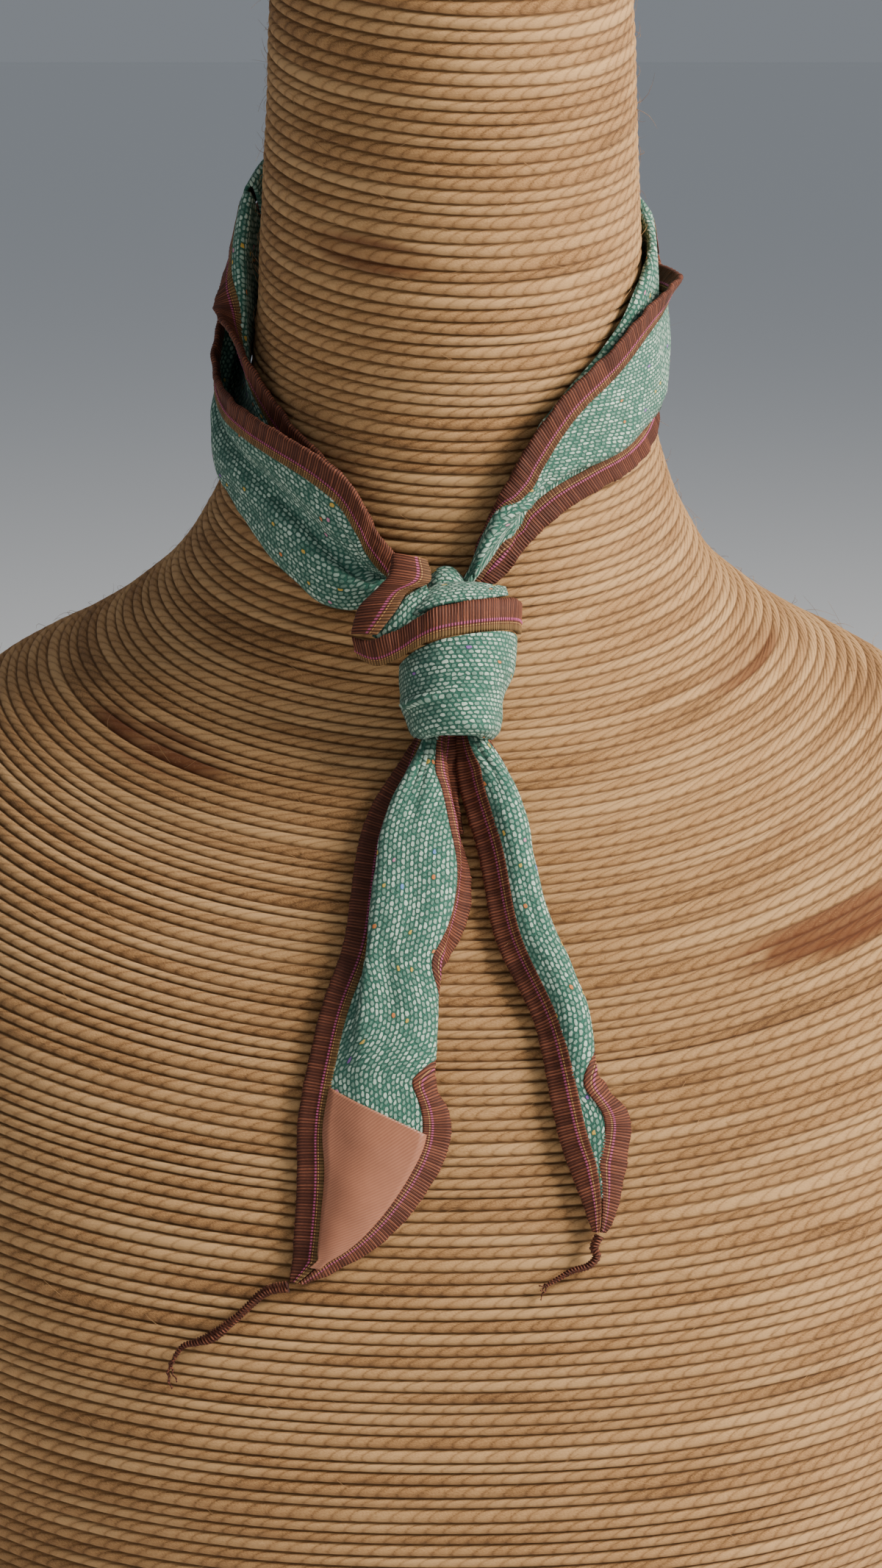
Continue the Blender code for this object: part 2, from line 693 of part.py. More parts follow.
def add_loft(name, rings, finish):
    """A closed body through rings of equal count, with flat ends."""
    sides = len(rings[0])
    mesh = bmesh.new()
    rows = [[mesh.verts.new(raised(point)) for point in ring] for ring in rings]
    for upper, lower in zip(rows, rows[1:]):
        for step in range(sides):
            other = (step + 1) % sides
            mesh.faces.new((upper[step], upper[other], lower[other], lower[step]))
    mesh.faces.new(rows[0])
    mesh.faces.new(rows[-1])
    bmesh.ops.recalc_face_normals(mesh, faces=mesh.faces)
    data = bpy.data.meshes.new(name)
    mesh.to_mesh(data)
    mesh.free()
    item = bpy.data.objects.new(name, data)
    collection.objects.link(item)
    data.materials.append(new_material(finish))
    data.shade_smooth()
    return item


def make_form():
    add_loft("display_form", form_rings(FORM_RINGS, FORM_SIDES), "rope")


def make_strip(name, rows, last_share, across):
    """A stretch of the strip: its cloth and the overlocked edge along both rims."""
    first, second = edge_strips(rows, last_share)
    add_sheet(name, cloth_strip(rows, last_share, across), CLOTH_WALL, "tweed")
    add_sheet(name + "_edge_a", first, EDGE_WALL, "edge")
    add_sheet(name + "_edge_b", second, EDGE_WALL, "edge")


def make_neck():
    left = sections(LEFT_STRETCH, left_section, NECK_ROWS)
    back = sections(BACK_STRETCH, left_section, BACK_ROWS)
    right = sections(RIGHT_STRETCH, right_section, NECK_ROWS)
    make_strip("left_stretch", left, EDGE_SHARE, LEFT_COLUMNS)
    make_strip("back_stretch", back, EDGE_SHARE, LEFT_COLUMNS)
    make_strip("right_stretch", right, EDGE_SHARE, RIGHT_COLUMNS)


def make_tails():
    left = sections(LEFT_TAIL, left_tail_section, LEFT_TAIL_ROWS)
    right = sections(RIGHT_TAIL, right_tail_section, RIGHT_TAIL_ROWS)
    make_strip("left_tail", left, POINT_SHARE, LEFT_TAIL_COLUMNS)
    make_strip("right_tail", right, POINT_SHARE, RIGHT_TAIL_COLUMNS)


def rim_rise(x):
    """The rise of the wrap's edge along its inner rim, at a place across the knot."""
    rim = [(row[3], row[4]) for row in reversed(KNOT_EDGE)]
    for low, high in zip(rim, rim[1:]):
        if x <= high[0]:
            part = max(0.0, (x - low[0]) / (high[0] - low[0]))
            return low[1] + (high[1] - low[1]) * part
    return rim[-1][1]


def wrap_row(row, steps):
    """A ring round the front of the knot; the top one follows the edge's inner rim."""
    rise, centre, width, reach = row
    low = KNOT_WRAP[0][0]
    high = KNOT_WRAP[-1][0]
    share = (rise - low) / (high - low)
    points = []
    for step in range(steps):
        turn = math.radians(-KNOT_SWEEP + 2 * KNOT_SWEEP * step / (steps - 1))
        across = math.copysign(abs(math.sin(turn)) ** KNOT_SQUARE, math.sin(turn))
        x = centre + width * across
        tilt = (rim_rise(x) - SEAM_GAP - high) * share
        out = KNOT_BASE + reach * math.cos(turn) ** KNOT_SQUARE
        points.append(lay_on_knot(x, rise + tilt, out))
    return points


def core_ring(row):
    rise, width, depth = row
    ring = []
    for step in range(CORE_SIDES):
        turn = 2 * math.pi * step / CORE_SIDES
        x = width * math.sin(turn)
        ring.append(lay_on_knot(x, rise, CORE_REACH + depth * math.cos(turn)))
    return ring


def make_knot():
    last = len(KNOT_WRAP) - 1
    rings = []
    for step in range(WRAP_RINGS):
        place = last * step / (WRAP_RINGS - 1)
        rings.append(wrap_row(spline(KNOT_WRAP, place), WRAP_COLUMNS))
    rim = ribbon(KNOT_EDGE, KNOT_EDGE_ROWS, EDGE_COLUMNS)
    add_sheet("knot_wrap", rings, CLOTH_WALL, "tweed")
    add_sheet("knot_wrap_edge", rim, EDGE_WALL, "edge")
    add_sheet("knot_lip", ribbon(KNOT_LIP, LIP_ROWS, LIP_COLUMNS), EDGE_WALL, "edge")
    add_sheet("knot_fold", ribbon(KNOT_FOLD, FOLD_ROWS, FOLD_COLUMNS), CLOTH_WALL, "tweed")
    add_sheet("knot_tuck", ribbon(KNOT_TUCK, TUCK_ROWS, TUCK_COLUMNS), CLOTH_WALL, "tweed")
    add_loft("knot_core", [core_ring(row) for row in KNOT_CORE], "tweed")


def make_label():
    """The satin patch at the left tail's point, lifted off the cloth below it."""
    patch = []
    for row in range(LABEL_ROWS):
        line = []
        for column in range(LABEL_COLUMNS):
            start = LABEL_SPAN[0] - LABEL_SLANT * (1.0 - column / (LABEL_COLUMNS - 1))
            share = start + (LABEL_SPAN[1] - start) * row / (LABEL_ROWS - 1)
            points = left_tail_section(spline(LEFT_TAIL, share * (len(LEFT_TAIL) - 1)))
            inner = min(EDGE_WIDTH + SEAM_GAP, (run_length(points) - LABEL_POINT) / 2)
            line.append(resample(points, inner, -inner, LABEL_COLUMNS)[column])
        patch.append(line)
    add_sheet("label", lifted(patch, LABEL_LIFT), LABEL_WALL, "satin")


def lifted(rows, distance):
    """A grid of points moved out along its own normals."""
    moved = []
    for index, row in enumerate(rows):
        above = rows[max(index - 1, 0)]
        below = rows[min(index + 1, len(rows) - 1)]
        line = []
        for column, point in enumerate(row):
            before = row[max(column - 1, 0)]
            after = row[min(column + 1, len(row) - 1)]
            out = (below[column] - above[column]).cross(after - before)
            line.append(point + out.normalized() * distance)
        moved.append(line)
    return moved


def make_thread(name, table):
    """An overlocking tail: a braid of thread that tapers to its loose end."""
    last = len(table) - 1
    rings = []
    steps = last * THREAD_STEPS
    for step in range(steps + 1):
        x, height, lift, radius = spline(table, last * step / steps)
        rings.append((lay_on_chest(x, height, lift), radius))
    add_loft(name, tube_rings(rings, THREAD_SIDES), "edge")


def tube_rings(run, sides):
    """Rings round a run of points, each with its own radius."""
    rings = []
    for index, (point, radius) in enumerate(run):
        before = run[max(index - 1, 0)][0]
        after = run[min(index + 1, len(run) - 1)][0]
        along = (after - before).normalized()
        side = along.cross(Vector((0, 1, 0))).normalized()
        other = along.cross(side)
        ring = []
        for step in range(sides):
            turn = 2 * math.pi * step / sides
            ring.append(point + (side * math.cos(turn) + other * math.sin(turn)) * radius)
        rings.append(ring)
    return rings


make_form()
make_neck()
make_tails()
make_knot()
make_label()
make_thread("left_thread", LEFT_THREAD)
make_thread("right_thread", RIGHT_THREAD)
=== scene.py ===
"""Looks of the neck scarf and of the rope-wound display form that it rests on.

Lengths in the tables are in millimetres and angles in degrees, in the frame of the
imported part: +Z up, the front faces -Y. The cloth's sections repeat the part's own.
"""
import math
from contextlib import contextmanager

import bmesh
import bpy
import numpy as np
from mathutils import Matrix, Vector
from mathutils.bvhtree import BVHTree


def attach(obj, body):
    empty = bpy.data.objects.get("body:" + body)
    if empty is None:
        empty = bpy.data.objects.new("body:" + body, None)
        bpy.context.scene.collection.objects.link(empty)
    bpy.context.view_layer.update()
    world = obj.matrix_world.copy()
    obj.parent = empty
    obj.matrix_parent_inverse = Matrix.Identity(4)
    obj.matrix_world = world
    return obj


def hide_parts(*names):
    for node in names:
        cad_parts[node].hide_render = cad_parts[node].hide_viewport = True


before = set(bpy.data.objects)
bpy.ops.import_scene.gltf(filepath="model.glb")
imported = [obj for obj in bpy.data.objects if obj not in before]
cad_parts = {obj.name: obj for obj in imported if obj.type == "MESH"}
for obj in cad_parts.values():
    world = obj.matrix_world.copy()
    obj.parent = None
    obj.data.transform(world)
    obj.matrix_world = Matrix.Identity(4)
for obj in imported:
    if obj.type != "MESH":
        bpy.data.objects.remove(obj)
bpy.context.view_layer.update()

MM = 0.001
SEED = 7

# The cloth's driving dimensions, as in the part
EDGE_WIDTH = 8.6
EDGE_SHARE = 0.3
STRIP_CROWN = 1.2
OUTER_LIFT = 8.2
FULL_LIFT = 11.0
INNER_LIFT = 1.2
CREASE_DEPTH = 3.4
LOWER_EDGE_SHOWS = 9.6
LEAST_REACH = 20.0
LOWEST_LIFT = 1.15
SIDE_START = 0.3
SIDE_SPAN = 0.4
POINT_WIDTH = 24.0
POINT_RISE = 0.75
SEAM_GAP = 0.7
PROBE = 1.5
SECTION_SAMPLES = 64
GUIDE_RINGS = 150
GUIDE_SIDES = 180
GUIDE_REACH = 400.0
LABEL_SPAN = (0.665, 0.915)
LABEL_SLANT = 0.065
LABEL_POINT = 2.6
BASE_DEPTH = 20.0
BRIM = 0.7
LEAST_FOLD = 0.72
FOLD_RISE = 3.0
TURNED_OVER = 10.0
STACK = 0.86

# Rings of the display form, from its neck's top down to its base.
# Columns: height at the side, at the front and at the back, half width,
# reach to the front and to the back, centre along Y, squareness, centre along X
FORM = (
    (465.0, 452.0, 478.0, 47.0, 46.0, 46.0, -13.5, 2.0, 2.5),
    (460.0, 447.0, 473.0, 52.5, 51.0, 51.0, -12.5, 2.0, 2.5),
    (431.0, 417.0, 444.0, 54.5, 53.0, 53.0, -5.5, 2.0, 2.5),
    (398.0, 383.0, 410.0, 56.3, 54.5, 55.0, 2.5, 2.0, 2.5),
    (366.0, 350.0, 379.0, 58.6, 56.0, 57.0, 9.5, 2.0, 2.2),
    (343.0, 324.0, 358.0, 59.8, 57.0, 60.0, 15.5, 2.0, 2.0),
    (322.0, 294.0, 334.0, 62.8, 59.0, 64.0, 21.5, 2.0, 1.5),
    (296.0, 266.0, 312.0, 69.6, 64.0, 70.0, 27.5, 2.0, 1.0),
    (276.0, 244.0, 291.0, 79.0, 72.0, 79.0, 33.5, 2.0, 0.5),
    (259.0, 222.0, 272.0, 91.0, 86.0, 88.0, 35.5, 2.0, 0.0),
    (246.0, 200.0, 255.0, 108.0, 102.0, 96.0, 36.5, 2.0, 0.0),
    (237.0, 178.0, 240.0, 123.0, 117.0, 102.0, 36.5, 2.05, 0.0),
    (230.0, 154.0, 224.0, 138.0, 132.0, 107.0, 36.5, 2.1, 0.0),
    (219.0, 130.0, 205.0, 155.0, 146.0, 111.0, 36.5, 2.2, 0.0),
    (198.0, 104.0, 180.0, 171.0, 158.0, 113.0, 36.5, 2.3, 0.0),
    (164.0, 78.0, 147.0, 182.0, 168.0, 113.0, 36.5, 2.35, 0.0),
    (116.0, 52.0, 106.0, 187.0, 176.0, 112.0, 36.5, 2.4, 0.0),
    (66.0, 26.0, 58.0, 188.0, 182.0, 110.0, 36.5, 2.4, 0.0),
    (-20.0, -20.0, -20.0, 187.0, 187.0, 108.0, 36.5, 2.4, 0.0),
)

# Sections of the left stretch, from the knot round to the side of the neck.
# Columns: turn and height of the fold below, turn and height of the outer rim,
# lift of the rim, rise of the inner layer past the outer rim, its lift there,
# how far the inner rim is turned over to the outside
LEFT_STRETCH = (
    (-14.5, 263.5, -11.0, 279.0, 8.0, -3.0, 4.0, 0.0),
    (-19.5, 261.5, -16.0, 287.5, 10.0, -3.5, 4.0, 0.0),
    (-24.0, 261.0, -18.5, 294.0, 11.0, -4.0, 4.0, 0.0),
    (-31.0, 264.2, -23.5, 302.4, 11.0, -4.0, 4.0, 0.0),
    (-39.5, 271.5, -32.5, 309.3, 11.0, -3.0, 3.5, 0.0),
    (-50.0, 280.0, -43.0, 314.0, 11.0, -0.5, 3.5, 0.0),
    (-62.0, 288.5, -55.0, 318.0, 11.0, 4.0, 3.5, 0.0),
    (-75.0, 296.5, -68.0, 322.3, 11.5, 9.5, 4.8, 0.06),
    (-88.0, 308.0, -81.0, 330.0, 12.3, 14.0, 4.6, 0.28),
    (-101.0, 325.0, -94.0, 346.0, 11.0, 15.0, 4.4, 0.8),
    (-113.0, 342.0, -107.0, 364.0, 9.5, 16.0, 4.8, 1.0),
)

# Sections of the stretch behind the neck, from its left side to its right one.
# The columns are those of the left stretch.
BACK_STRETCH = (
    (-114.5, 343.5, -108.8, 366.0, 9.8, 16.0, 4.6, 1.0),
    (-132.0, 356.0, -128.0, 381.0, 11.4, 13.0, 4.0, 1.0),
    (-155.0, 364.0, -154.0, 390.0, 11.4, 9.0, 4.0, 1.0),
    (-180.0, 367.0, -180.0, 394.0, 11.4, 8.0, 4.0, 1.0),
    (-206.0, 366.0, -206.0, 392.0, 11.4, 8.0, 4.0, 1.0),
    (-230.0, 356.0, -231.0, 378.0, 10.8, 8.0, 4.0, 1.0),
    (-248.0, 341.0, -250.5, 360.0, 9.8, 14.0, 4.0, 1.0),
)

# Sections of the right stretch, from the knot round to the side of the neck.
# Columns: turn and height of the lower rim, turn and height of the upper rim,
# lift of the upper rim, rise of the inner fold past the upper rim,
# how far the layers are folded over one another
RIGHT_STRETCH = (
    (11.5, 268.0, 6.0, 273.5, 4.5, -1.0, 0.0),
    (16.1, 273.8, 8.1, 281.8, 4.5, -1.5, 0.0),
    (19.4, 279.0, 11.0, 291.3, 5.0, -2.0, 0.1),
    (25.4, 285.3, 14.8, 301.5, 6.0, -2.5, 0.8),
    (33.1, 290.9, 20.0, 313.5, 7.5, -3.0, 1.0),
    (44.3, 295.6, 29.4, 327.2, 8.0, -3.0, 1.0),
    (59.0, 300.3, 43.5, 338.5, 8.0, -2.0, 1.0),
    (75.0, 308.2, 60.0, 350.0, 8.5, 0.5, 1.0),
    (88.0, 320.0, 78.0, 356.5, 11.5, 5.0, 1.0),
    (100.0, 331.0, 92.0, 356.5, 12.0, 11.0, 1.0),
    (108.0, 340.0, 105.0, 358.0, 9.0, 16.0, 1.0),
)

# Sections of the left tail, from under the knot down to its point.
# Columns: height and X of the left rim, height and X of the right contour,
# how far its left side and its right side have opened out flat, lift of its middle,
# how far the rim that is folded under shows past the right contour
LEFT_TAIL = (
    (230.6, -3.6, 230.6, 1.5, 1.0, 1.0, 8.0, 0.0),
    (222.0, -8.2, 222.5, 0.5, 1.0, 0.95, 9.0, -2.0),
    (212.0, -16.0, 211.0, 1.5, 0.6, 0.3, 11.0, -4.0),
    (202.0, -23.0, 200.0, 3.6, 0.15, 0.0, 11.0, 0.0),
    (191.0, -25.5, 189.0, 5.0, 0.0, 0.0, 11.0, 3.5),
    (180.0, -27.0, 177.5, 2.5, 0.1, 0.0, 11.0, 5.5),
    (167.5, -28.7, 165.0, -1.0, 0.3, 0.0, 10.5, 2.0),
    (157.5, -34.0, 152.0, -2.5, 0.7, 0.0, 9.8, -11.0),
    (146.0, -37.0, 140.0, -2.0, 0.95, 0.15, 8.5, -11.0),
    (134.0, -40.0, 131.0, 1.5, 1.0, 0.95, 7.0, -4.0),
    (123.0, -42.0, 121.0, 3.0, 1.0, 1.0, 6.5, 0.0),
    (112.0, -41.3, 111.0, -1.8, 1.0, 1.0, 6.0, 0.0),
    (101.0, -42.0, 99.5, -10.5, 1.0, 1.0, 5.5, 0.0),
    (92.0, -42.5, 91.5, -20.0, 1.0, 1.0, 5.0, 0.0),
    (86.0, -43.0, 85.8, -32.0, 1.0, 1.0, 4.5, 0.0),
    (83.0, -43.4, 83.4, -38.6, 1.0, 1.0, 4.2, 0.0),
)

# Sections of the right tail, with the columns of the left one.
RIGHT_TAIL = (
    (230.6, 5.2, 230.6, 11.2, 1.0, 1.0, 7.5, 0.0),
    (222.0, 3.6, 222.0, 14.6, 0.6, 0.5, 8.5, -4.0),
    (212.0, 4.0, 212.5, 19.6, 0.0, 0.1, 10.0, -11.0),
    (202.5, 7.0, 203.5, 22.8, 0.0, 0.0, 9.5, -11.0),
    (191.5, 10.8, 192.5, 25.2, 0.0, 0.0, 9.0, -10.5),
    (180.5, 12.5, 181.0, 28.3, 0.0, 0.0, 9.0, -11.0),
    (171.0, 14.8, 170.5, 32.3, 0.0, 0.0, 9.0, -11.0),
    (161.5, 19.8, 160.0, 38.5, 0.0, 0.0, 9.0, -11.0),
    (150.5, 26.3, 147.5, 42.2, 0.1, 0.0, 8.5, -10.0),
    (137.0, 29.2, 137.0, 45.0, 0.4, 0.3, 7.5, -7.0),
    (127.0, 31.2, 127.3, 53.2, 1.0, 1.0, 6.5, 0.0),
    (120.5, 32.8, 120.5, 53.2, 1.0, 1.0, 6.0, 0.0),
    (112.5, 35.8, 112.0, 51.6, 1.0, 1.0, 5.5, 0.0),
    (104.5, 39.2, 104.0, 49.9, 1.0, 1.0, 5.0, 0.0),
    (99.0, 41.0, 98.5, 47.6, 1.0, 1.0, 4.5, 0.0),
    (96.4, 42.2, 96.2, 45.8, 1.0, 1.0, 4.2, 0.0),
)

KNOT_CENTRE = (4.0, -40.0, 246.0)
KNOT_SLOPE = 20.0

# Rings of the knot's wrap, from its lower edge up.
# Columns: rise, centre along X, half width, reach in front
KNOT_WRAP = (
    (-24.5, -0.2, 13.8, 17.6),
    (-22.5, -0.2, 14.2, 19.8),
    (-17.0, -0.3, 14.6, 22.0),
    (-11.5, -0.8, 15.4, 22.4),
    (-7.0, -0.1, 16.2, 23.6),
    (-2.0, 0.2, 16.8, 24.0),
    (3.0, 0.5, 17.0, 23.4),
)
KNOT_SWEEP = 88.0
KNOT_SQUARE = 0.85
KNOT_BASE = 2.8

# The overlocked edge along the wrap's top, from its right end to the lip's tip.
# Columns: X, rise and reach of the outer rim, then of the inner rim
KNOT_EDGE = (
    (18.8, 17.0, 5.0, 18.6, 7.2, 5.0),
    (17.4, 16.6, 13.0, 17.0, 7.0, 13.0),
    (12.4, 15.6, 20.0, 12.2, 6.0, 19.8),
    (5.0, 14.0, 25.0, 5.0, 4.6, 24.6),
    (-4.6, 11.8, 27.0, -4.7, 2.8, 26.4),
    (-11.1, 8.9, 25.5, -11.1, 0.7, 24.4),
    (-17.6, 5.4, 23.0, -16.8, -2.2, 21.0),
    (-25.2, 3.0, 20.5, -23.4, -3.9, 17.5),
    (-30.6, 4.4, 16.8, -29.2, -0.8, 15.5),
)

# The lip where that edge turns back up on the left of the knot.
# The columns are those of the knot's edge.
KNOT_LIP = (
    (-31.0, 5.2, 17.4, -23.4, 4.2, 21.6),
    (-29.8, 10.6, 20.0, -17.9, 11.0, 23.5),
    (-25.3, 16.4, 21.5, -14.2, 17.0, 22.5),
    (-20.0, 21.8, 22.0, -8.0, 20.2, 21.0),
    (-19.2, 28.6, 20.0, -9.0, 26.8, 18.5),
)

# The fold of cloth that shows above the wrap's edge, from its left to its right.
KNOT_FOLD = (
    (-14.5, 8.8, 20.4, -13.6, 13.4, 16.2),
    (-10.5, 10.7, 23.9, -10.0, 17.0, 17.2),
    (-4.6, 12.5, 25.4, -4.8, 20.0, 16.4),
    (5.0, 14.4, 23.4, 4.6, 20.8, 14.4),
    (11.2, 16.1, 18.3, 10.8, 20.6, 11.2),
    (14.8, 17.8, 11.0, 14.4, 20.8, 7.0),
)

# The small tuck of cloth between the two stretches, above that fold.
KNOT_TUCK = (
    (-8.0, 18.7, 12.6, -8.4, 22.4, 8.8),
    (-5.5, 19.4, 14.2, -5.4, 26.0, 9.4),
    (-1.5, 19.4, 14.1, -1.4, 26.2, 9.4),
    (1.6, 19.0, 12.8, 2.0, 22.6, 8.8),
)

# Thread tails at the two points of the scarf.
# Columns: X, height, lift and radius
LEFT_THREAD = (
    (-43.6, 82.2, 4.2, 1.6),
    (-50.0, 80.6, 3.6, 1.5),
    (-57.5, 74.0, 3.2, 1.25),
    (-64.6, 68.3, 3.2, 1.7),
    (-69.3, 66.2, 3.0, 1.1),
    (-73.8, 64.4, 2.6, 0.8),
    (-77.3, 58.7, 2.2, 0.5),
    (-76.6, 54.6, 1.9, 0.35),
)

RIGHT_THREAD = (
    (43.9, 95.4, 4.2, 1.3),
    (42.4, 92.4, 3.8, 1.2),
    (43.2, 89.9, 3.4, 1.1),
    (40.8, 87.6, 3.2, 1.0),
    (36.4, 86.4, 2.8, 0.9),
    (31.5, 84.0, 2.4, 0.7),
    (25.8, 81.0, 2.0, 0.4),
)

# Sections of the tails: part of the way across, and lift against the middle's
LEFT_FOLDED = (
    (0.0, 0.34), (0.16, 0.24), (0.32, 0.24), (0.42, 0.38), (0.34, 0.56), (0.24, 0.72),
    (0.26, 0.92), (0.42, 1.0), (0.66, 0.98), (0.86, 0.88), (0.98, 0.67), (1.0, 0.42),
    (0.9, 0.18), (0.8, 0.12),
)

LEFT_OPENED = (
    (0.0, 0.36), (0.1, 0.42), (0.2, 0.56), (0.28, 0.72), (0.34, 0.86), (0.4, 0.98),
    (0.47, 1.04), (0.55, 1.04), (0.64, 0.98), (0.73, 0.88), (0.81, 0.76), (0.88, 0.64),
    (0.94, 0.52), (1.0, 0.42),
)

RIGHT_FOLDED = (
    (0.0, 0.3), (0.22, 0.42), (0.44, 0.74), (0.66, 0.96), (0.86, 0.92), (0.99, 0.66),
    (0.94, 0.42), (0.78, 0.26), (0.62, 0.18), (0.46, 0.14),
)

RIGHT_OPENED = (
    (0.0, 0.4), (0.1, 0.54), (0.2, 0.7), (0.32, 0.84), (0.44, 0.94), (0.56, 0.98),
    (0.68, 0.92), (0.8, 0.8), (0.9, 0.64), (1.0, 0.46),
)


def spline(rows, place):
    """Reads a table between its rows, along a smooth curve through them."""
    last = len(rows) - 1
    place = min(max(place, 0.0), float(last))
    index = min(int(place), last - 1)
    part = place - index
    before = rows[max(index - 1, 0)]
    start = rows[index]
    end = rows[index + 1]
    after = rows[min(index + 2, last)]
    square = part * part
    cube = square * part
    values = []
    for a, b, c, d in zip(before, start, end, after):
        slope_start = (c - a) / 2
        slope_end = (d - b) / 2
        value = (2 * cube - 3 * square + 1) * b
        value += (cube - 2 * square + part) * slope_start
        value += (3 * square - 2 * cube) * c
        value += (cube - square) * slope_end
        values.append(value)
    return values


def form_ring(place, sides):
    """One ring of the form: an oval that dips in front and behind."""
    side, front, back, width, reach, depth, centre_y, square, centre_x = spline(FORM, place)
    lean = (front - back) / 2
    fall = (front + back) / 2 - side
    power = 2 / square
    ring = []
    for step in range(sides):
        turn = 2 * math.pi * step / sides
        sine = math.sin(turn)
        cosine = math.cos(turn)
        across = math.copysign(abs(sine) ** power, sine)
        along = math.copysign(abs(cosine) ** power, cosine)
        reached = reach if cosine > 0 else depth
        x = centre_x + width * across
        y = centre_y - reached * along
        z = side + lean * cosine + fall * cosine * cosine
        ring.append(Vector((x, y, z)))
    return ring


def form_rings(count, sides):
    """Rings of the form from its neck's top down to its base."""
    last = len(FORM) - 1
    return [form_ring(last * step / (count - 1), sides) for step in range(count)]


def guide_tree():
    """The form's surface, fine enough to lay the cloth on."""
    rings = form_rings(GUIDE_RINGS, GUIDE_SIDES)
    points = [point for ring in rings for point in ring]
    faces = []
    for row in range(GUIDE_RINGS - 1):
        for step in range(GUIDE_SIDES):
            other = (step + 1) % GUIDE_SIDES
            a = row * GUIDE_SIDES
            b = a + GUIDE_SIDES
            faces.append((a + step, a + other, b + other, b + step))
    return BVHTree.FromPolygons(points, faces)


GUIDE = guide_tree()
NECK_RINGS = sorted((row[0], row[6], row[8]) for row in FORM)


def neck_axis(height):
    """The middle of the neck at a height."""
    heights, centres_y, centres_x = zip(*NECK_RINGS)
    return np.interp(height, heights, centres_x), np.interp(height, heights, centres_y)


def neck_point(turn, height):
    """A point of the neck at a turn from its front and a height."""
    x, y = neck_axis(height)
    angle = math.radians(turn)
    aim = Vector((math.sin(angle), -math.cos(angle), 0))
    return GUIDE.ray_cast(Vector((x, y, height)), aim)[0]


def chest_point(x, height):
    """A point of the chest, seen from the front."""
    start = Vector((x, -GUIDE_REACH, height))
    return GUIDE.ray_cast(start, Vector((0, 1, 0)))[0]


def lay_on(point_of, across, height, lift):
    """A point at a lift over the form: across is a turn on the neck, X on the chest."""
    here = point_of(across, height)
    side = point_of(across + PROBE, height) - point_of(across - PROBE, height)
    rise = point_of(across, height + PROBE) - point_of(across, height - PROBE)
    return here + side.cross(rise).normalized() * lift


def smooth_run(points, samples):
    """Many points on a smooth curve through a few."""
    last = len(points) - 1
    return [spline(points, last * step / samples) for step in range(samples + 1)]


def left_section(row):
    """A strip folded in two, open at the top: outer layer, fold, inner layer.

    Each point of the shape is a part of the way up to the outer rim, and a lift.
    """
    low_turn, low_height, rim_turn, rim_height, rim_lift, rise, inner_lift, turned = row
    full = min(1.0, rim_lift / FULL_LIFT)
    outer = OUTER_LIFT * full
    top = 1.0 + rise / (rim_height - low_height)
    over = min(TURNED_OVER / (rim_height - low_height), top - LEAST_FOLD)
    fold = top - over * (1.0 - turned)
    fold_lift = INNER_LIFT + (inner_lift - INNER_LIFT) * (0.6 + 0.4 * turned)
    lean = TURNED_OVER * BRIM * math.sin(math.pi * turned)
    reach = over * math.cos(math.pi * turned)
    shape = (
        (1.0, rim_lift),
        (0.93, rim_lift - 0.2),
        (0.86, outer + 2.5),
        (0.78, outer + 2.4),
        (0.62, outer + 1.8),
        (0.47, outer + 1.4 - CREASE_DEPTH * full),
        (0.30, outer + 1.0),
        (0.08, outer - 0.6),
        (0.0, 5.4),
        (0.08, 3.0),
        (0.35, INNER_LIFT),
        ((0.35 + fold) / 2, INNER_LIFT),
        (fold, fold_lift),
        (fold + reach * 0.1, fold_lift + FOLD_RISE * turned + lean * 0.1),
        (fold + reach, inner_lift + (FOLD_RISE + 1.0) * turned + lean),
    )
    return neck_section(shape, low_turn, low_height, rim_turn, rim_height)


def right_section(row):
    """A strip folded in three: outer layer, middle layer and inner layer.

    Each layer's points are a part of the way up to the upper rim, and a lift.
    """
    low_turn, low_height, rim_turn, rim_height, rim_lift, rise, folded = row
    reach = rim_height - low_height
    top = 1.0 + rise / reach
    fold = LOWER_EDGE_SHOWS / max(reach, LEAST_REACH)
    layers = (
        (1.0, rim_lift / STACK),
        (0.8, 8.8),
        (0.6, 8.6),
        (fold + 0.1, 8.0),
        (fold, 6.6),
        (fold + 0.1, 5.2),
        (0.7, 4.9),
        (top - 0.06, 5.0),
        (top, 3.7),
        (top - 0.06, 2.3),
        (0.6, 2.0),
        (0.3, 2.0),
        (0.0, 2.6),
    )
    shape = []
    for index, (part, lift) in enumerate(layers):
        single = 1.0 - index / (len(layers) - 1)
        shape.append((single + (part - single) * folded, lift * STACK))
    return neck_section(shape, low_turn, low_height, rim_turn, rim_height)


def neck_section(shape, low_turn, low_height, rim_turn, rim_height):
    """A section's shape laid on the neck, between its fold and its outer rim."""
    points = []
    for part, lift in smooth_run(shape, SECTION_SAMPLES):
        turn = low_turn + (rim_turn - low_turn) * part
        height = low_height + (rim_height - low_height) * part
        points.append(lay_on(neck_point, turn, height, lift))
    return points


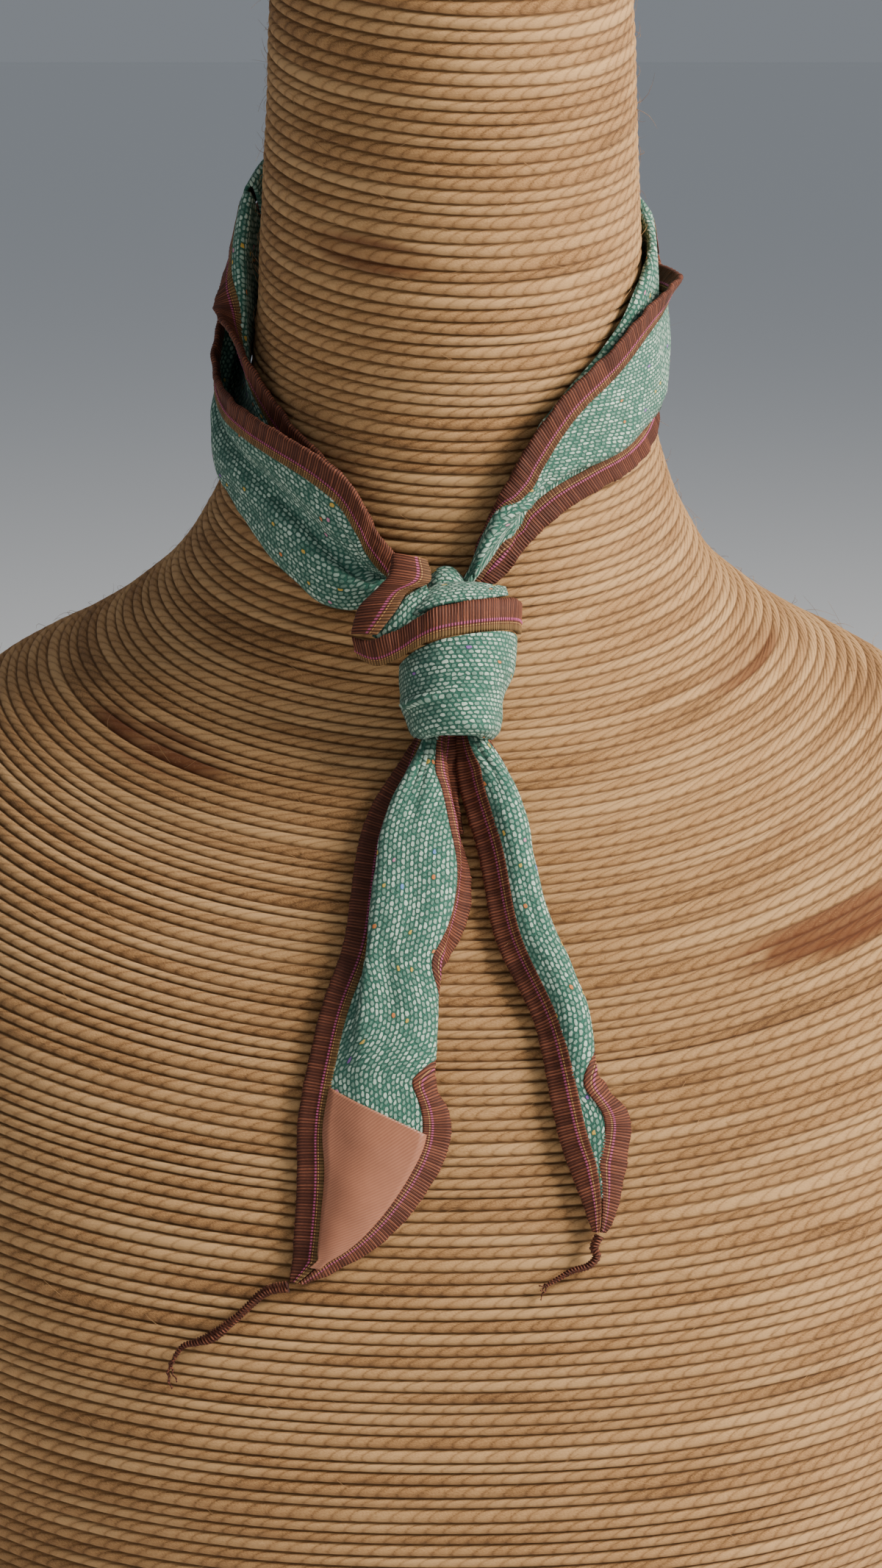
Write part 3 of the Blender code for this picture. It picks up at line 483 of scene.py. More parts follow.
def tail_section(row, folded, opened):
    """A tail's section, part way between its folded shape and its open one."""
    left_height, left_x, right_height, right_x, left_open, right_open, lift, peek = row
    width = right_x - left_x
    last = len(folded) - 1
    full = min(1.0, width / POINT_WIDTH)
    shape = []
    for index, (shut, flat) in enumerate(zip(folded, opened)):
        side = min(max((index / last - SIDE_START) / SIDE_SPAN, 0.0), 1.0)
        opening = left_open + (right_open - left_open) * side
        shut_part = shut[0]
        if index >= last - 1:
            shut_part = 1.0 + peek / width / (1 + last - index)
        part = shut_part + (flat[0] - shut_part) * opening
        flat_rise = POINT_RISE + (flat[1] - POINT_RISE) * full
        rise = shut[1] + (flat_rise - shut[1]) * opening
        shape.append((part, rise * lift))
    points = []
    for part, rise in smooth_run(shape, SECTION_SAMPLES):
        x = left_x + width * part
        height = left_height + (right_height - left_height) * part
        points.append(lay_on(chest_point, x, height, max(rise, LOWEST_LIFT)))
    return points


def left_tail_section(row):
    return tail_section(row, LEFT_FOLDED, LEFT_OPENED)


def right_tail_section(row):
    return tail_section(row, RIGHT_FOLDED, RIGHT_OPENED)


def lay_on_knot(x, rise, reach):
    """A point in the knot's frame: across, up along its face and out of it."""
    slope = math.radians(KNOT_SLOPE)
    up = Vector((0, math.sin(slope), math.cos(slope)))
    out = Vector((0, -math.cos(slope), math.sin(slope)))
    return Vector(KNOT_CENTRE) + Vector((x, 0, 0)) + up * rise + out * reach


def straight_section(row):
    """A strip of the knot between two rims, slightly crowned."""
    x_a, rise_a, reach_a, x_b, rise_b, reach_b = row
    points = []
    for step in range(SECTION_SAMPLES + 1):
        part = step / SECTION_SAMPLES
        crown = STRIP_CROWN * math.sin(math.pi * part)
        x = x_a + (x_b - x_a) * part
        rise = rise_a + (rise_b - rise_a) * part
        points.append(lay_on_knot(x, rise, reach_a + (reach_b - reach_a) * part + crown))
    return points


def sections(table, shape_of, count, first=0.0, last=1.0):
    """Sections at even steps along a table."""
    rows = []
    end = len(table) - 1
    for step in range(count):
        place = end * (first + (last - first) * step / (count - 1))
        rows.append(shape_of(spline(table, place)))
    return rows


def rim_rise(x):
    """The rise of the wrap's edge along its inner rim, at a place across the knot."""
    places, rises = zip(*((row[3], row[4]) for row in reversed(KNOT_EDGE)))
    return np.interp(x, places, rises)


def wrap_row(row, steps):
    """A ring round the front of the knot; the top one follows the edge's inner rim."""
    rise, centre, width, reach = row
    low = KNOT_WRAP[0][0]
    high = KNOT_WRAP[-1][0]
    share = (rise - low) / (high - low)
    points = []
    for step in range(steps):
        turn = math.radians(-KNOT_SWEEP + 2 * KNOT_SWEEP * step / (steps - 1))
        across = math.copysign(abs(math.sin(turn)) ** KNOT_SQUARE, math.sin(turn))
        x = centre + width * across
        tilt = (rim_rise(x) - SEAM_GAP - high) * share
        out = KNOT_BASE + reach * math.cos(turn) ** KNOT_SQUARE
        points.append(lay_on_knot(x, rise + tilt, out))
    return points


# The cloth's grids: steps along them, columns across, rows read from a table
CLOTH_STEP = 1.3
WRAP_STEP = 0.7
SMALL_STEP = 0.8
LABEL_STEP = 0.9
CLOTH_COLUMNS = 46
SMALL_COLUMNS = 16
INSIDE_COLUMNS = 12
COARSE_ROWS = 64
LEFT_TAIL_ROWS = 84
RIGHT_TAIL_ROWS = 80

# A cap with more sides than this is cut into triangles; points nearer than this are one
MOST_CAP_SIDES = 6
WELD_REACH = 1e-6

# The cloth's shell, its ripples, its creases and where its weave starts
CLOTH_WALL = 1.3
LABEL_WALL = 0.5
RIPPLE_PITCH = 34.0
RIPPLE_HEIGHT = 0.3
FLAT_RIM = 4.0
WAVE_SHARES = (1.0, 1.7, 0.6, 2.6)
WAVE_SLANT = 0.6
TROUGH_ENDS = (0.06, 0.94)
TROUGH_RISE = 1.3
WEAVE_START = 51.2

# The overlocked edge: its section, its ribs, its chain of stitches and its wavy rim
STATIONS = np.array(
    (0.0, 0.03, 0.1, 0.2, 0.32, 0.44, 0.56, 0.62, 0.66, 0.70, 0.76, 0.84, 0.92, 1.0)
)
EDGE_HALF = 0.8
EDGE_ROUNDING = 0.09
EDGE_THINNING = 0.18
RIB_PITCH = 0.9
RIB_SAMPLES = 3
RIB_HEIGHT = 0.15
RIB_START = 0.06
RIB_SWELL = (0.55, 1.35)
RIB_REACH = (-0.35, 1.0)
RIM_RAGGED = 0.35
KNOT_RAGGED = 0.3
RAGGED_SPAN = 0.2
RIM_SMOOTHING = 17
RIM_WAVE = 0.45
RIM_WAVE_LENGTHS = (11.0, 7.3)
RIM_WAVE_SPAN = 0.7
CHAIN_PLACE = 5.7
CHAIN_HEIGHT = 0.28
CHAIN_WIDTH = 0.4
CHAIN_LEAST = 0.35

# Where cloth and edges meet, and where a tail's two edges do
SEAM_COVER = -0.4
SEAM_TUCK = 0.8
LEAST_SEAM = 0.3
WIDEST_EDGE = 1.15
MEETING = 0.5
MEET_SHARE = 0.84
CLOTH_END = 0.87


def as_run(points):
    """A row of vectors as an array of points."""
    return np.array([tuple(point) for point in points])


def as_grid(rows):
    return np.array([as_run(row) for row in rows])


def unit(vectors):
    length = np.linalg.norm(vectors, axis=-1, keepdims=True)
    return vectors / np.maximum(length, 1e-9)


def out_of(grid):
    """Unit normals of a grid of points, out of the face that the part shows."""
    return unit(np.cross(np.gradient(grid, axis=0), np.gradient(grid, axis=1)))


def outward(rings):
    """Unit normals of rings of points, away from the rings' middles."""
    out = out_of(rings)
    off = rings - rings.mean(axis=1, keepdims=True)
    return out if np.sum(out * off) > 0 else -out


def refined(grid, count):
    """The grid with count rows, on smooth curves through the given ones."""
    last = grid.shape[0] - 1
    place = np.linspace(0.0, last, count)
    index = np.minimum(place.astype(int), last - 1)
    part = (place - index)[:, None, None]
    before = grid[np.maximum(index - 1, 0)]
    start = grid[index]
    end = grid[index + 1]
    after = grid[np.minimum(index + 2, last)]
    slope_start = (end - before) / 2
    slope_end = (after - start) / 2
    square = part * part
    cube = square * part
    result = (2 * cube - 3 * square + 1) * start + (cube - 2 * square + part) * slope_start
    return result + (3 * square - 2 * cube) * end + (cube - square) * slope_end


def distances(points):
    """Lengths along a run of points, from its start."""
    steps = np.linalg.norm(np.diff(points, axis=0), axis=1)
    return np.concatenate(([0.0], np.cumsum(steps)))


def at_distances(points, places):
    run = distances(points)
    return np.stack([np.interp(places, run, points[:, axis]) for axis in range(3)], axis=1)


def new_mesh(name, points, faces, uvs, material):
    """A smooth piece on a grid of points, with UV layers that are given at the points."""
    mesh = bpy.data.meshes.new(name)
    points = points.reshape(-1, 3) + (0, 0, BASE_DEPTH)
    mesh.from_pydata((points * MM).tolist(), [], faces.tolist())
    mesh.update()
    for layer, values in uvs.items():
        data = mesh.uv_layers.new(name=layer).data
        index = np.empty(len(mesh.loops), dtype=int)
        mesh.loops.foreach_get("vertex_index", index)
        data.foreach_set("uv", values.reshape(-1, 2)[index].ravel())
    item = bpy.data.objects.new(name, mesh)
    bpy.context.scene.collection.objects.link(item)
    mesh.materials.append(material)
    mesh.shade_smooth()
    return item


def grid_faces(rows, columns, closed=False):
    """Quads of a grid of vertices; closed joins the last column to the first."""
    row = np.arange(rows - 1)[:, None]
    column = np.arange(columns if closed else columns - 1)[None, :]
    a = row * columns + column
    b = row * columns + (column + 1) % columns
    return np.stack((a, b, b + columns, a + columns), axis=-1).reshape(-1, 4)


@contextmanager
def opened(item):
    """A piece's mesh, to edit."""
    mesh = bmesh.new()
    mesh.from_mesh(item.data)
    yield mesh
    mesh.to_mesh(item.data)
    mesh.free()


def weld(item):
    with opened(item) as mesh:
        bmesh.ops.remove_doubles(mesh, verts=mesh.verts, dist=WELD_REACH)


def close_holes(item):
    """Caps on a piece's open rims, in triangles where they have many sides."""
    with opened(item) as mesh:
        rims = [edge for edge in mesh.edges if edge.is_boundary]
        bmesh.ops.holes_fill(mesh, edges=rims, sides=0)
        caps = [face for face in mesh.faces if len(face.verts) > MOST_CAP_SIDES]
        bmesh.ops.triangulate(mesh, faces=caps)
        bmesh.ops.recalc_face_normals(mesh, faces=mesh.faces)


def close_ends(item, rows, columns):
    """Flat caps on a tube of vertex rings."""
    with opened(item) as mesh:
        mesh.verts.ensure_lookup_table()
        mesh.faces.new([mesh.verts[index] for index in range(columns - 1, -1, -1)])
        last = (rows - 1) * columns
        mesh.faces.new([mesh.verts[last + index] for index in range(columns)])
        bmesh.ops.recalc_face_normals(mesh, faces=mesh.faces)


def settle(item, node_names):
    """What every piece has: its body and the solids that it stands for."""
    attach(item, "root")
    if node_names:
        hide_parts(*node_names)
    return item


def waves(run, across, pitch, height, seed):
    """Small uneven waves over a grid, from a few sines."""
    turns = np.random.default_rng(seed)
    total = np.zeros((len(run), len(across)))
    for share in WAVE_SHARES:
        angle = turns.uniform(-WAVE_SLANT, WAVE_SLANT)
        phase = turns.uniform(0.0, 2 * math.pi)
        wave = run[:, None] * math.cos(angle) + across[None, :] * math.sin(angle)
        total += np.sin(2 * math.pi * wave * share / pitch + phase) / (1 + share)
    return total * height


def troughs(run, across, table):
    """Soft creases: how deep a grid is pressed in. Rows give both ends, as shares of
    the length and of the width, then the crease's half width and depth."""
    size = np.array((run[-1], across[-1]))
    depth = np.zeros((len(run), len(across)))
    for start_run, start_across, end_run, end_across, half, deep in table:
        start = np.array((start_run, start_across)) * size
        line = np.array((end_run, end_across)) * size - start
        to_run = run[:, None] - start[0] + 0 * across[None, :]
        to_across = across[None, :] - start[1] + 0 * run[:, None]
        share = (to_run * line[0] + to_across * line[1]) / (line @ line)
        held = np.clip(share, 0.0, 1.0)
        off = np.hypot(to_run - held * line[0], to_across - held * line[1])
        fade = TROUGH_RISE * np.sin(math.pi * np.clip(held, *TROUGH_ENDS)) ** 0.6
        fade = np.clip(fade, 0.0, 1.0)
        depth += deep * fade * np.exp(-((off / half) ** 2))
    return depth


def summed(grid, axis):
    """Lengths along a grid's lines, from where each line starts."""
    steps = np.linalg.norm(np.diff(grid, axis=axis), axis=2)
    start = np.zeros_like(np.take(steps, [0], axis=axis))
    return np.concatenate((start, np.cumsum(steps, axis=axis)), axis=axis)


def weave_of(grid, crosswise):
    """The weave's coordinates: lengths along the cloth and across it, from its middle."""
    along = summed(grid, 0)
    across = summed(grid, 1)
    middle_row = grid.shape[0] // 2
    middle_column = grid.shape[1] // 2
    along = along - along[middle_row : middle_row + 1]
    across = across - across[:, middle_column : middle_column + 1] + WEAVE_START
    return np.stack((across, along) if crosswise else (along, across), axis=-1)


def cloth_piece(name, grid, step, table, seed, material, wall=CLOTH_WALL, crosswise=False):
    """A thin shell of cloth on a grid, with its creases and its weave's coordinates."""
    middle = grid.shape[1] // 2
    length = distances(grid[:, middle])[-1]
    fine = refined(grid, max(3, int(length / step) + 1))
    run = distances(fine[:, middle])
    across = distances(fine[len(fine) // 2])
    shift = waves(run, across, RIPPLE_PITCH, RIPPLE_HEIGHT, seed) - troughs(run, across, table)
    rim = np.minimum(across, across[-1] - across) / FLAT_RIM
    shift *= np.clip(rim, 0.0, 1.0)[None, :]
    points = fine + out_of(fine) * shift[:, :, None]
    uvs = {"weave": weave_of(fine, crosswise)}
    item = new_mesh(name, points, grid_faces(*points.shape[:2]), uvs, material)
    solid = item.modifiers.new("wall", "SOLIDIFY")
    solid.thickness = wall * MM
    solid.offset = 0
    return item


def lengthwise(grid):
    """How far each point lies along its rim's own direction from the rim's point, so
    that ribs stand square to a slanted rim."""
    tangent = np.gradient(grid[:, 0], axis=0)
    window = np.ones(RIM_SMOOTHING) / RIM_SMOOTHING
    ends = (RIM_SMOOTHING // 2, RIM_SMOOTHING // 2)
    padded = np.pad(tangent, (ends, (0, 0)), mode="edge")
    lines = [np.convolve(padded[:, axis], window, mode="valid") for axis in range(3)]
    tangent = unit(np.stack(lines, axis=1)[: len(grid)])
    return np.einsum("rca,ra->rc", grid - grid[:, :1], tangent)


def faded(span):
    """1 at an edge's rim, 0 from a share of its width on."""
    return np.clip(1.0 - STATIONS / span, 0, 1)


def edge_piece(name, grid, seed, material, ragged=RIM_RAGGED, slanted=False):
    """An overlocked edge: ribs of thread wound over the rim, and its chain of stitches.

    The grid runs along the edge, its first column is the outer rim."""
    turns = np.random.default_rng(seed)
    length = distances(grid[:, 0])[-1]
    fine = refined(grid, max(6, int(length / RIB_PITCH * RIB_SAMPLES) + 1))
    run = distances(fine[:, 0])
    out = out_of(fine)
    along = run[:, None] + (lengthwise(fine) if slanted else np.zeros(fine.shape[:2]))
    along = along - min(0.0, along.min())
    rib = along / RIB_PITCH
    index = rib.astype(int)
    each = turns.uniform(*RIB_SWELL, index.max() + 2)
    long = turns.uniform(*RIB_REACH, index.max() + 2)
    swell = np.sin(math.pi * (rib - index)) ** 2
    rounding = np.sqrt(np.clip(STATIONS / EDGE_ROUNDING, 0.0, 1.0))
    half = EDGE_HALF * rounding * (1.0 - EDGE_THINNING * STATIONS)
    relief = RIB_HEIGHT * swell * each[index] * np.clip(STATIONS / RIB_START, 0, 1)
    across = np.broadcast_to(STATIONS * EDGE_WIDTH, along.shape)
    bead = np.exp(-(((across - CHAIN_PLACE) / CHAIN_WIDTH) ** 2))
    bead = bead * (CHAIN_LEAST + (1 - CHAIN_LEAST) * swell)
    thick = half + relief
    push = ragged * swell * long[index] * faded(RAGGED_SPAN)
    beat, swing = RIM_WAVE_LENGTHS
    wave = np.sin(2 * math.pi * run / beat + turns.uniform(0, 6)) * np.sin(run / swing)
    lift = RIM_WAVE * wave[:, None] * faded(RIM_WAVE_SPAN)
    aside = unit(fine[:, 0] - fine[:, 2])
    shift = aside[:, None, :] * push[:, :, None] + out * lift[:, :, None]
    front = fine + out * (thick + CHAIN_HEIGHT * bead)[:, :, None] + shift
    back = fine - out * thick[:, :, None] + shift
    ring = np.concatenate((front, back[:, -1:0:-1]), axis=1)
    uv = np.stack((along, across), axis=-1)
    uv = np.concatenate((uv, uv[:, -1:0:-1]), axis=1)
    rows, columns = ring.shape[:2]
    item = new_mesh(name, ring, grid_faces(rows, columns, closed=True), {"weave": uv}, material)
    close_ends(item, rows, columns)
    return item


class Field:
    """A number, colour or place that varies over a surface: a shader node's output."""

    def __init__(self, socket):
        self.socket = socket

    def __add__(self, other):
        return reckoned("ADD", self, other)

    def __sub__(self, other):
        return reckoned("SUBTRACT", self, other)

    def __rsub__(self, other):
        return reckoned("SUBTRACT", other, self)

    def __mul__(self, other):
        return reckoned("MULTIPLY", self, other)

    def __truediv__(self, other):
        return reckoned("DIVIDE", self, other)

    def __pow__(self, other):
        return reckoned("POWER", self, other)


def fill(node, values):
    """Sets a node's inputs to numbers or colours, or joins them to fields."""
    for key, value in values.items():
        if isinstance(value, Field):
            node.id_data.links.new(value.socket, node.inputs[key])
        else:
            node.inputs[key].default_value = value


def new_node(kind, values, **settings):
    """A shader node in the tree of the fields among its inputs."""
    fields = [value for value in values.values() if isinstance(value, Field)]
    node = fields[0].socket.id_data.nodes.new("ShaderNode" + kind)
    for name, setting in settings.items():
        setattr(node, name, setting)
    fill(node, values)
    return node


def reckoned(operation, *values):
    node = new_node("Math", dict(enumerate(values)), operation=operation)
    return Field(node.outputs[0])


def floor_of(value):
    return reckoned("FLOOR", value)


def fraction_of(value):
    return reckoned("FRACT", value)


def size_of(value):
    return reckoned("ABSOLUTE", value)


def sine_of(value):
    return reckoned("SINE", value)


def mixed(share, first, second):
    node = new_node("Mix", {0: share, 6: first, 7: second}, data_type="RGBA")
    return Field(node.outputs[2])


def place_of(x, y, z=0.0):
    return Field(new_node("CombineXYZ", {0: x, 1: y, 2: z}).outputs[0])


def noise_of(place, scale, detail=2.0, roughness=0.5):
    values = {"Vector": place_of(*place), "Scale": scale, "Detail": detail, "Roughness": roughness}
    return Field(new_node("TexNoise", values).outputs["Fac"])


def random_of(*place):
    """A number from 0 to 1, a new one for each whole place."""
    node = new_node("TexWhiteNoise", {"Vector": place_of(*place)}, noise_dimensions="3D")
    return Field(node.outputs["Value"])


def step_of(value, low, high):
    """0 below low, 1 above high, smooth between."""
    values = {"Value": value, "From Min": low, "From Max": high}
    return Field(new_node("MapRange", values, interpolation_type="SMOOTHSTEP").outputs[0])


def band_of(value, middle, half, soft):
    """1 within half of the middle, falling to 0 over soft."""
    return 1.0 - step_of(size_of(value - middle), half, half + soft)


def relief_of(height, distance, strength):
    values = {"Height": height, "Distance": distance * MM, "Strength": strength}
    return Field(new_node("Bump", values).outputs[0])


def new_material(name):
    material = bpy.data.materials.new(name)
    material.use_nodes = True
    return material


def finished(material, values):
    """The material with its shader's inputs set or joined."""
    fill(material.node_tree.nodes["Principled BSDF"], values)
    return material


def coordinates(material, layer):
    """The two coordinates of a UV layer."""
    source = material.node_tree.nodes.new("ShaderNodeUVMap")
    source.uv_map = layer
    parts = new_node("SeparateXYZ", {0: Field(source.outputs[0])})
    return Field(parts.outputs[0]), Field(parts.outputs[1])


# Tweed's weave: pale flecks in staggered rows on a deep green ground
FLECK_REPEAT = 1.95
FLECK_ROW = 1.28
FLECK_SHAKE = 0.35
FLECK_LEAN = 0.22
FLECK_ROUNDNESS = 2.4
YARN_WOBBLE = 0.7
TWEED_RELIEF = 0.34
TWEED_GROUND = (0.018, 0.082, 0.056, 1)
TWEED_MIDDLE = (0.050, 0.160, 0.115, 1)
TWEED_PALE = (0.500, 0.640, 0.520, 1)

# Coloured neps: the share of flecks below each one, and its colour
NEPS = (
    (0.985, (0.62, 0.40, 0.08, 1)),
    (0.9915, (0.62, 0.20, 0.06, 1)),
    (0.9945, (0.62, 0.26, 0.38, 1)),
    (0.9968, (0.16, 0.30, 0.62, 1)),
    (0.9984, (0.28, 0.12, 0.42, 1)),
)


def tweed_material():
    """Flecked tweed: pale picks in staggered rows, a few of them coloured."""
    material = new_material("tweed")
    along, across = coordinates(material, "weave")
    wobble = (noise_of((along, across), 0.55) - 0.5) * YARN_WOBBLE
    line = across / FLECK_ROW + wobble
    row = floor_of(line)
    odd = reckoned("MODULO", row, 2.0) * 0.5
    shaken = random_of(row, 3.0) * FLECK_SHAKE
    along_row = along / FLECK_REPEAT + odd + (shaken + wobble)
    cell = floor_of(along_row)
    chance = random_of(cell, row)
    y = fraction_of(line) - 0.5
    x = fraction_of(along_row) - 0.5 + y * FLECK_LEAN
    wide = chance * -0.3 + 1.32
    far = size_of(x * wide) ** FLECK_ROUNDNESS + size_of(y * 1.18) ** FLECK_ROUNDNESS
    fleck = 1.0 - step_of(reckoned("SQRT", far), 0.27, 0.45)
    cloud = noise_of((along, across), 0.11, 3.0, 0.6)
    fibre = noise_of((along * 0.7, across), 3.4, 3.0, 0.7)
    bright = (chance**1.3 * 0.95 + 0.14) * (cloud * 1.9 + 0.05) * (fibre * 0.9 + 0.5)
    ground = mixed(step_of(fibre, 0.3, 0.75), TWEED_GROUND, TWEED_MIDDLE)
    tint = mixed(reckoned("MINIMUM", bright, 1.0), TWEED_MIDDLE, TWEED_PALE)
    colour = random_of(cell, row, 5.0)
    for threshold, nep in NEPS:
        tint = mixed(reckoned("GREATER_THAN", colour, threshold), tint, nep)
    values = {
        "Base Color": mixed(fleck, ground, tint),
        "Roughness": 0.92,
        "Specular IOR Level": 0.18,
        "Sheen Weight": 0.1,
        "Sheen Roughness": 0.6,
        "Normal": relief_of(fibre * 0.35 + fleck, TWEED_RELIEF, 0.9),
    }
    return finished(material, values)


# Overlock thread: its browns, from the painted shade between ribs to the painted light on their
# crests, the chain's purple and the gold of the inner side
THREAD_DARK = (0.045, 0.012, 0.007, 1)
THREAD_MIDDLE = (0.088, 0.026, 0.014, 1)
THREAD_LIGHT = (0.240, 0.078, 0.040, 1)
CHAIN_COLOUR = (0.440, 0.085, 0.205, 1)
GOLD_COLOUR = (0.420, 0.250, 0.085, 1)
OLIVE_COLOUR = (0.080, 0.042, 0.014, 1)
OLIVE_LIGHT = (0.240, 0.140, 0.052, 1)
GOLD_LINE = 6.55
OLIVE_FROM = 6.75
OLIVE_SOFT = 0.3
CHAIN_COVER = 0.92
YARN_SLANT = 0.9
THREAD_RELIEF = 0.22


def edge_material(name, olive, lit_level):
    """Overlock thread in ribs, with its chain of stitches and a line of gold; painted shade
    between the ribs and painted light on their crests.

    olive is how much of the gold band shows on the edge's inner side; the last argument
    makes the whole copy lighter or darker, as painted light or shade."""
    material = new_material(name)
    along, across = coordinates(material, "weave")
    rib = along / RIB_PITCH
    crest = sine_of(fraction_of(rib) * math.pi)
    chance = random_of(floor_of(rib), 1.0)
    twist = across * YARN_SLANT + along * (2 * math.pi / (RIB_PITCH / 2.0))
    yarn = sine_of(twist) * 0.5 + 0.5
    fibre = noise_of((along * 4.0, across), 1.1, 3.0, 0.65)
    # Painted shade and light: darker between ribs, lighter on their crests, over each rib's and
    # fibre's own tone; the last argument scales it all as painted light or shade.
    light = crest * (chance * 0.6 + 0.55) * (fibre * 0.9 + 0.45) * (yarn * 0.35 + 0.75)
    light = light * lit_level
    colour = mixed(step_of(light, 0.05, 0.45), THREAD_DARK, THREAD_MIDDLE)
    colour = mixed(step_of(light, 0.40, 0.95), colour, THREAD_LIGHT)
    if olive > 0:
        warm = mixed(step_of(light, 0.1, 0.8), OLIVE_COLOUR, OLIVE_LIGHT)
        inner = step_of(across, OLIVE_FROM, OLIVE_FROM + OLIVE_SOFT) * olive
        colour = mixed(inner, colour, warm)
    # The gold line and the chain's purple show on the rib crests and fall to the darkest brown
    # between ribs: painted shade.
    gold = band_of(across, GOLD_LINE, 0.08, 0.14) * crest
    colour = mixed(step_of(gold, 0.35, 0.8), colour, GOLD_COLOUR)
    link = mixed(step_of(crest, 0.35, 0.95), THREAD_DARK, CHAIN_COLOUR)
    chain = band_of(across, CHAIN_PLACE, 0.22, 0.16) * CHAIN_COVER
    height = fibre * 0.3 + (yarn * 0.4 + crest * 0.8)
    values = {
        "Base Color": mixed(chain, colour, link),
        "Roughness": 0.65,
        "Specular IOR Level": 0.2,
        "Sheen Weight": 0.03,
        "Normal": relief_of(height, THREAD_RELIEF, 0.8),
    }
    return finished(material, values)


# Satin of the label: its two tones and its slanting twill
SATIN_LIGHT = (0.420, 0.170, 0.096, 1)
SATIN_DARK = (0.270, 0.104, 0.058, 1)
TWILL_ACROSS = 6.2
TWILL_ALONG = 5.8
SATIN_RELIEF = 0.08


def satin_material():
    """Plain satin with a fine slanting twill."""
    material = new_material("satin")
    along, across = coordinates(material, "weave")
    ridge = sine_of(across * TWILL_ACROSS + along * TWILL_ALONG) * 0.5 + 0.5
    cloud = noise_of((along, across), 0.3, 3.0)
    values = {
        "Base Color": mixed(ridge * 0.5 + cloud * 0.5, SATIN_DARK, SATIN_LIGHT),
        "Roughness": 0.38,
        "Specular IOR Level": 0.4,
        "Anisotropic": 0.5,
        "Normal": relief_of(ridge, SATIN_RELIEF, 0.7),
    }
    return finished(material, values)


# Jute rope: its strands' pitch, its tones and the depth of its fibres
STRAND_PITCH = 5.8
STRAND_WANDER = 1.6
STRAND_SHIFT = 9.0
ROPE_LIGHT = (0.680, 0.405, 0.180, 1)
ROPE_MIDDLE = (0.430, 0.222, 0.086, 1)
ROPE_DARK = (0.150, 0.068, 0.024, 1)
ROPE_STAIN = (0.140, 0.036, 0.010, 1)
GROOVE_SHADE = 0.72
VALLEY_SHADE = 0.26
THIN_STAIN = 0.35
ROPE_RELIEF = 0.44

# Darker streaks of the rope: turn, distance from the neck's top, half length in
# degrees, half height in millimetres, strength
STAINS = (
    (-33.0, 20.0, 14.0, 3.5, 0.8),
    (-25.0, 92.0, 22.0, 6.0, 0.75),
    (-52.0, 262.0, 16.0, 10.0, 0.9),
    (-58.0, 372.0, 14.0, 8.0, 0.8),
    (48.0, 330.0, 16.0, 9.0, 0.85),
    (58.0, 372.0, 12.0, 7.0, 0.8),
    (70.0, 240.0, 16.0, 8.0, 0.6),
    (150.0, 300.0, 20.0, 9.0, 0.8),
    (-140.0, 200.0, 18.0, 7.0, 0.7),
)


def stains_of(material):
    """How much of the placed streaks covers a point."""
    turn, down = coordinates(material, "place")
    stained = 0.0
    for centre, far, half_turn, half_down, strength in STAINS:
        side = size_of((turn - centre) / half_turn)
        fall = size_of((down - far) / half_down)
        near = 1.0 - step_of(side**2.0 + fall**2.0, 0.25, 1.3)
        stained = reckoned("MAXIMUM", stained, near * strength)
    return stained


def rope_material():
    """Jute: twisted strands with slanting fibres, painted shade between rows and between strands,
    lighter on the strands' crests, and darker streaks.
    """
    material = new_material("rope")
    around, line = coordinates(material, "wind")
    row = floor_of(line)
    y = fraction_of(line) - 0.5
    wander = noise_of((around * 0.05, row), 1.0, 1.0)
    shift = wander * STRAND_WANDER + random_of(row, 2.0) * STRAND_SHIFT
    climb = reckoned("ARCSINE", y * 1.98) / math.pi
    strand = around / STRAND_PITCH + climb + shift
    crest = sine_of(fraction_of(strand) * math.pi)
    chance = random_of(floor_of(strand), row)
    lean = y * 5.0 + around * 1.35
    lie = y * 2.6 + around * -0.22
    fibre = noise_of((lie * 3.2, lean * 0.30, row), 2.4, 4.0, 0.75)
    cloud = noise_of((around * 0.02, line * 0.12), 1.0, 3.0)
    whole = noise_of((around * 0.012, row * 5.3), 1.0)
    tone = fibre * 1.15 + (chance * 0.12 - 0.42) + (cloud * 0.4 - 0.15)
    # Lighter on each strand's crest: painted light; the groove and valley below are painted shade
    # between rows and strands.
    tone = tone + crest * 0.18 + (whole * 1.5 - 0.62)
    colour = mixed(step_of(tone, -0.1, 0.5), ROPE_DARK, ROPE_MIDDLE)
    colour = mixed(step_of(tone, 0.25, 0.95), colour, ROPE_LIGHT)
    groove = step_of(size_of(y) + crest * -0.04, 0.28, 0.44)
    colour = mixed(groove * GROOVE_SHADE, colour, ROPE_DARK)
    valley = 1.0 - step_of(crest, 0.0, 0.5)
    colour = mixed(valley * VALLEY_SHADE, colour, ROPE_DARK)
    streak = noise_of((around * 0.035, row * 3.7), 1.0)
    stained = stains_of(material) * step_of(streak, 0.36, 0.5)
    stained = reckoned("MAXIMUM", stained, step_of(streak, 0.70, 0.80) * THIN_STAIN)
    stained = stained * step_of(fibre, 0.22, 0.5) * step_of(random_of(row, 9.0), 0.15, 0.5)
    values = {
        "Base Color": mixed(stained, colour, ROPE_STAIN),
        "Roughness": 0.88,
        "Specular IOR Level": 0.2,
        "Sheen Weight": 0.05,
        "Normal": relief_of(fibre * 1.2 + crest * 0.65, ROPE_RELIEF, 0.95),
    }
    return finished(material, values)


ROPE = rope_material()
TWEED = tweed_material()
EDGE = edge_material("edge", 0.0, 1.05)
EDGE_GOLD = edge_material("edge_gold", 0.9, 1.05)
EDGE_HALF_GOLD = edge_material("edge_half_gold", 0.45, 1.0)
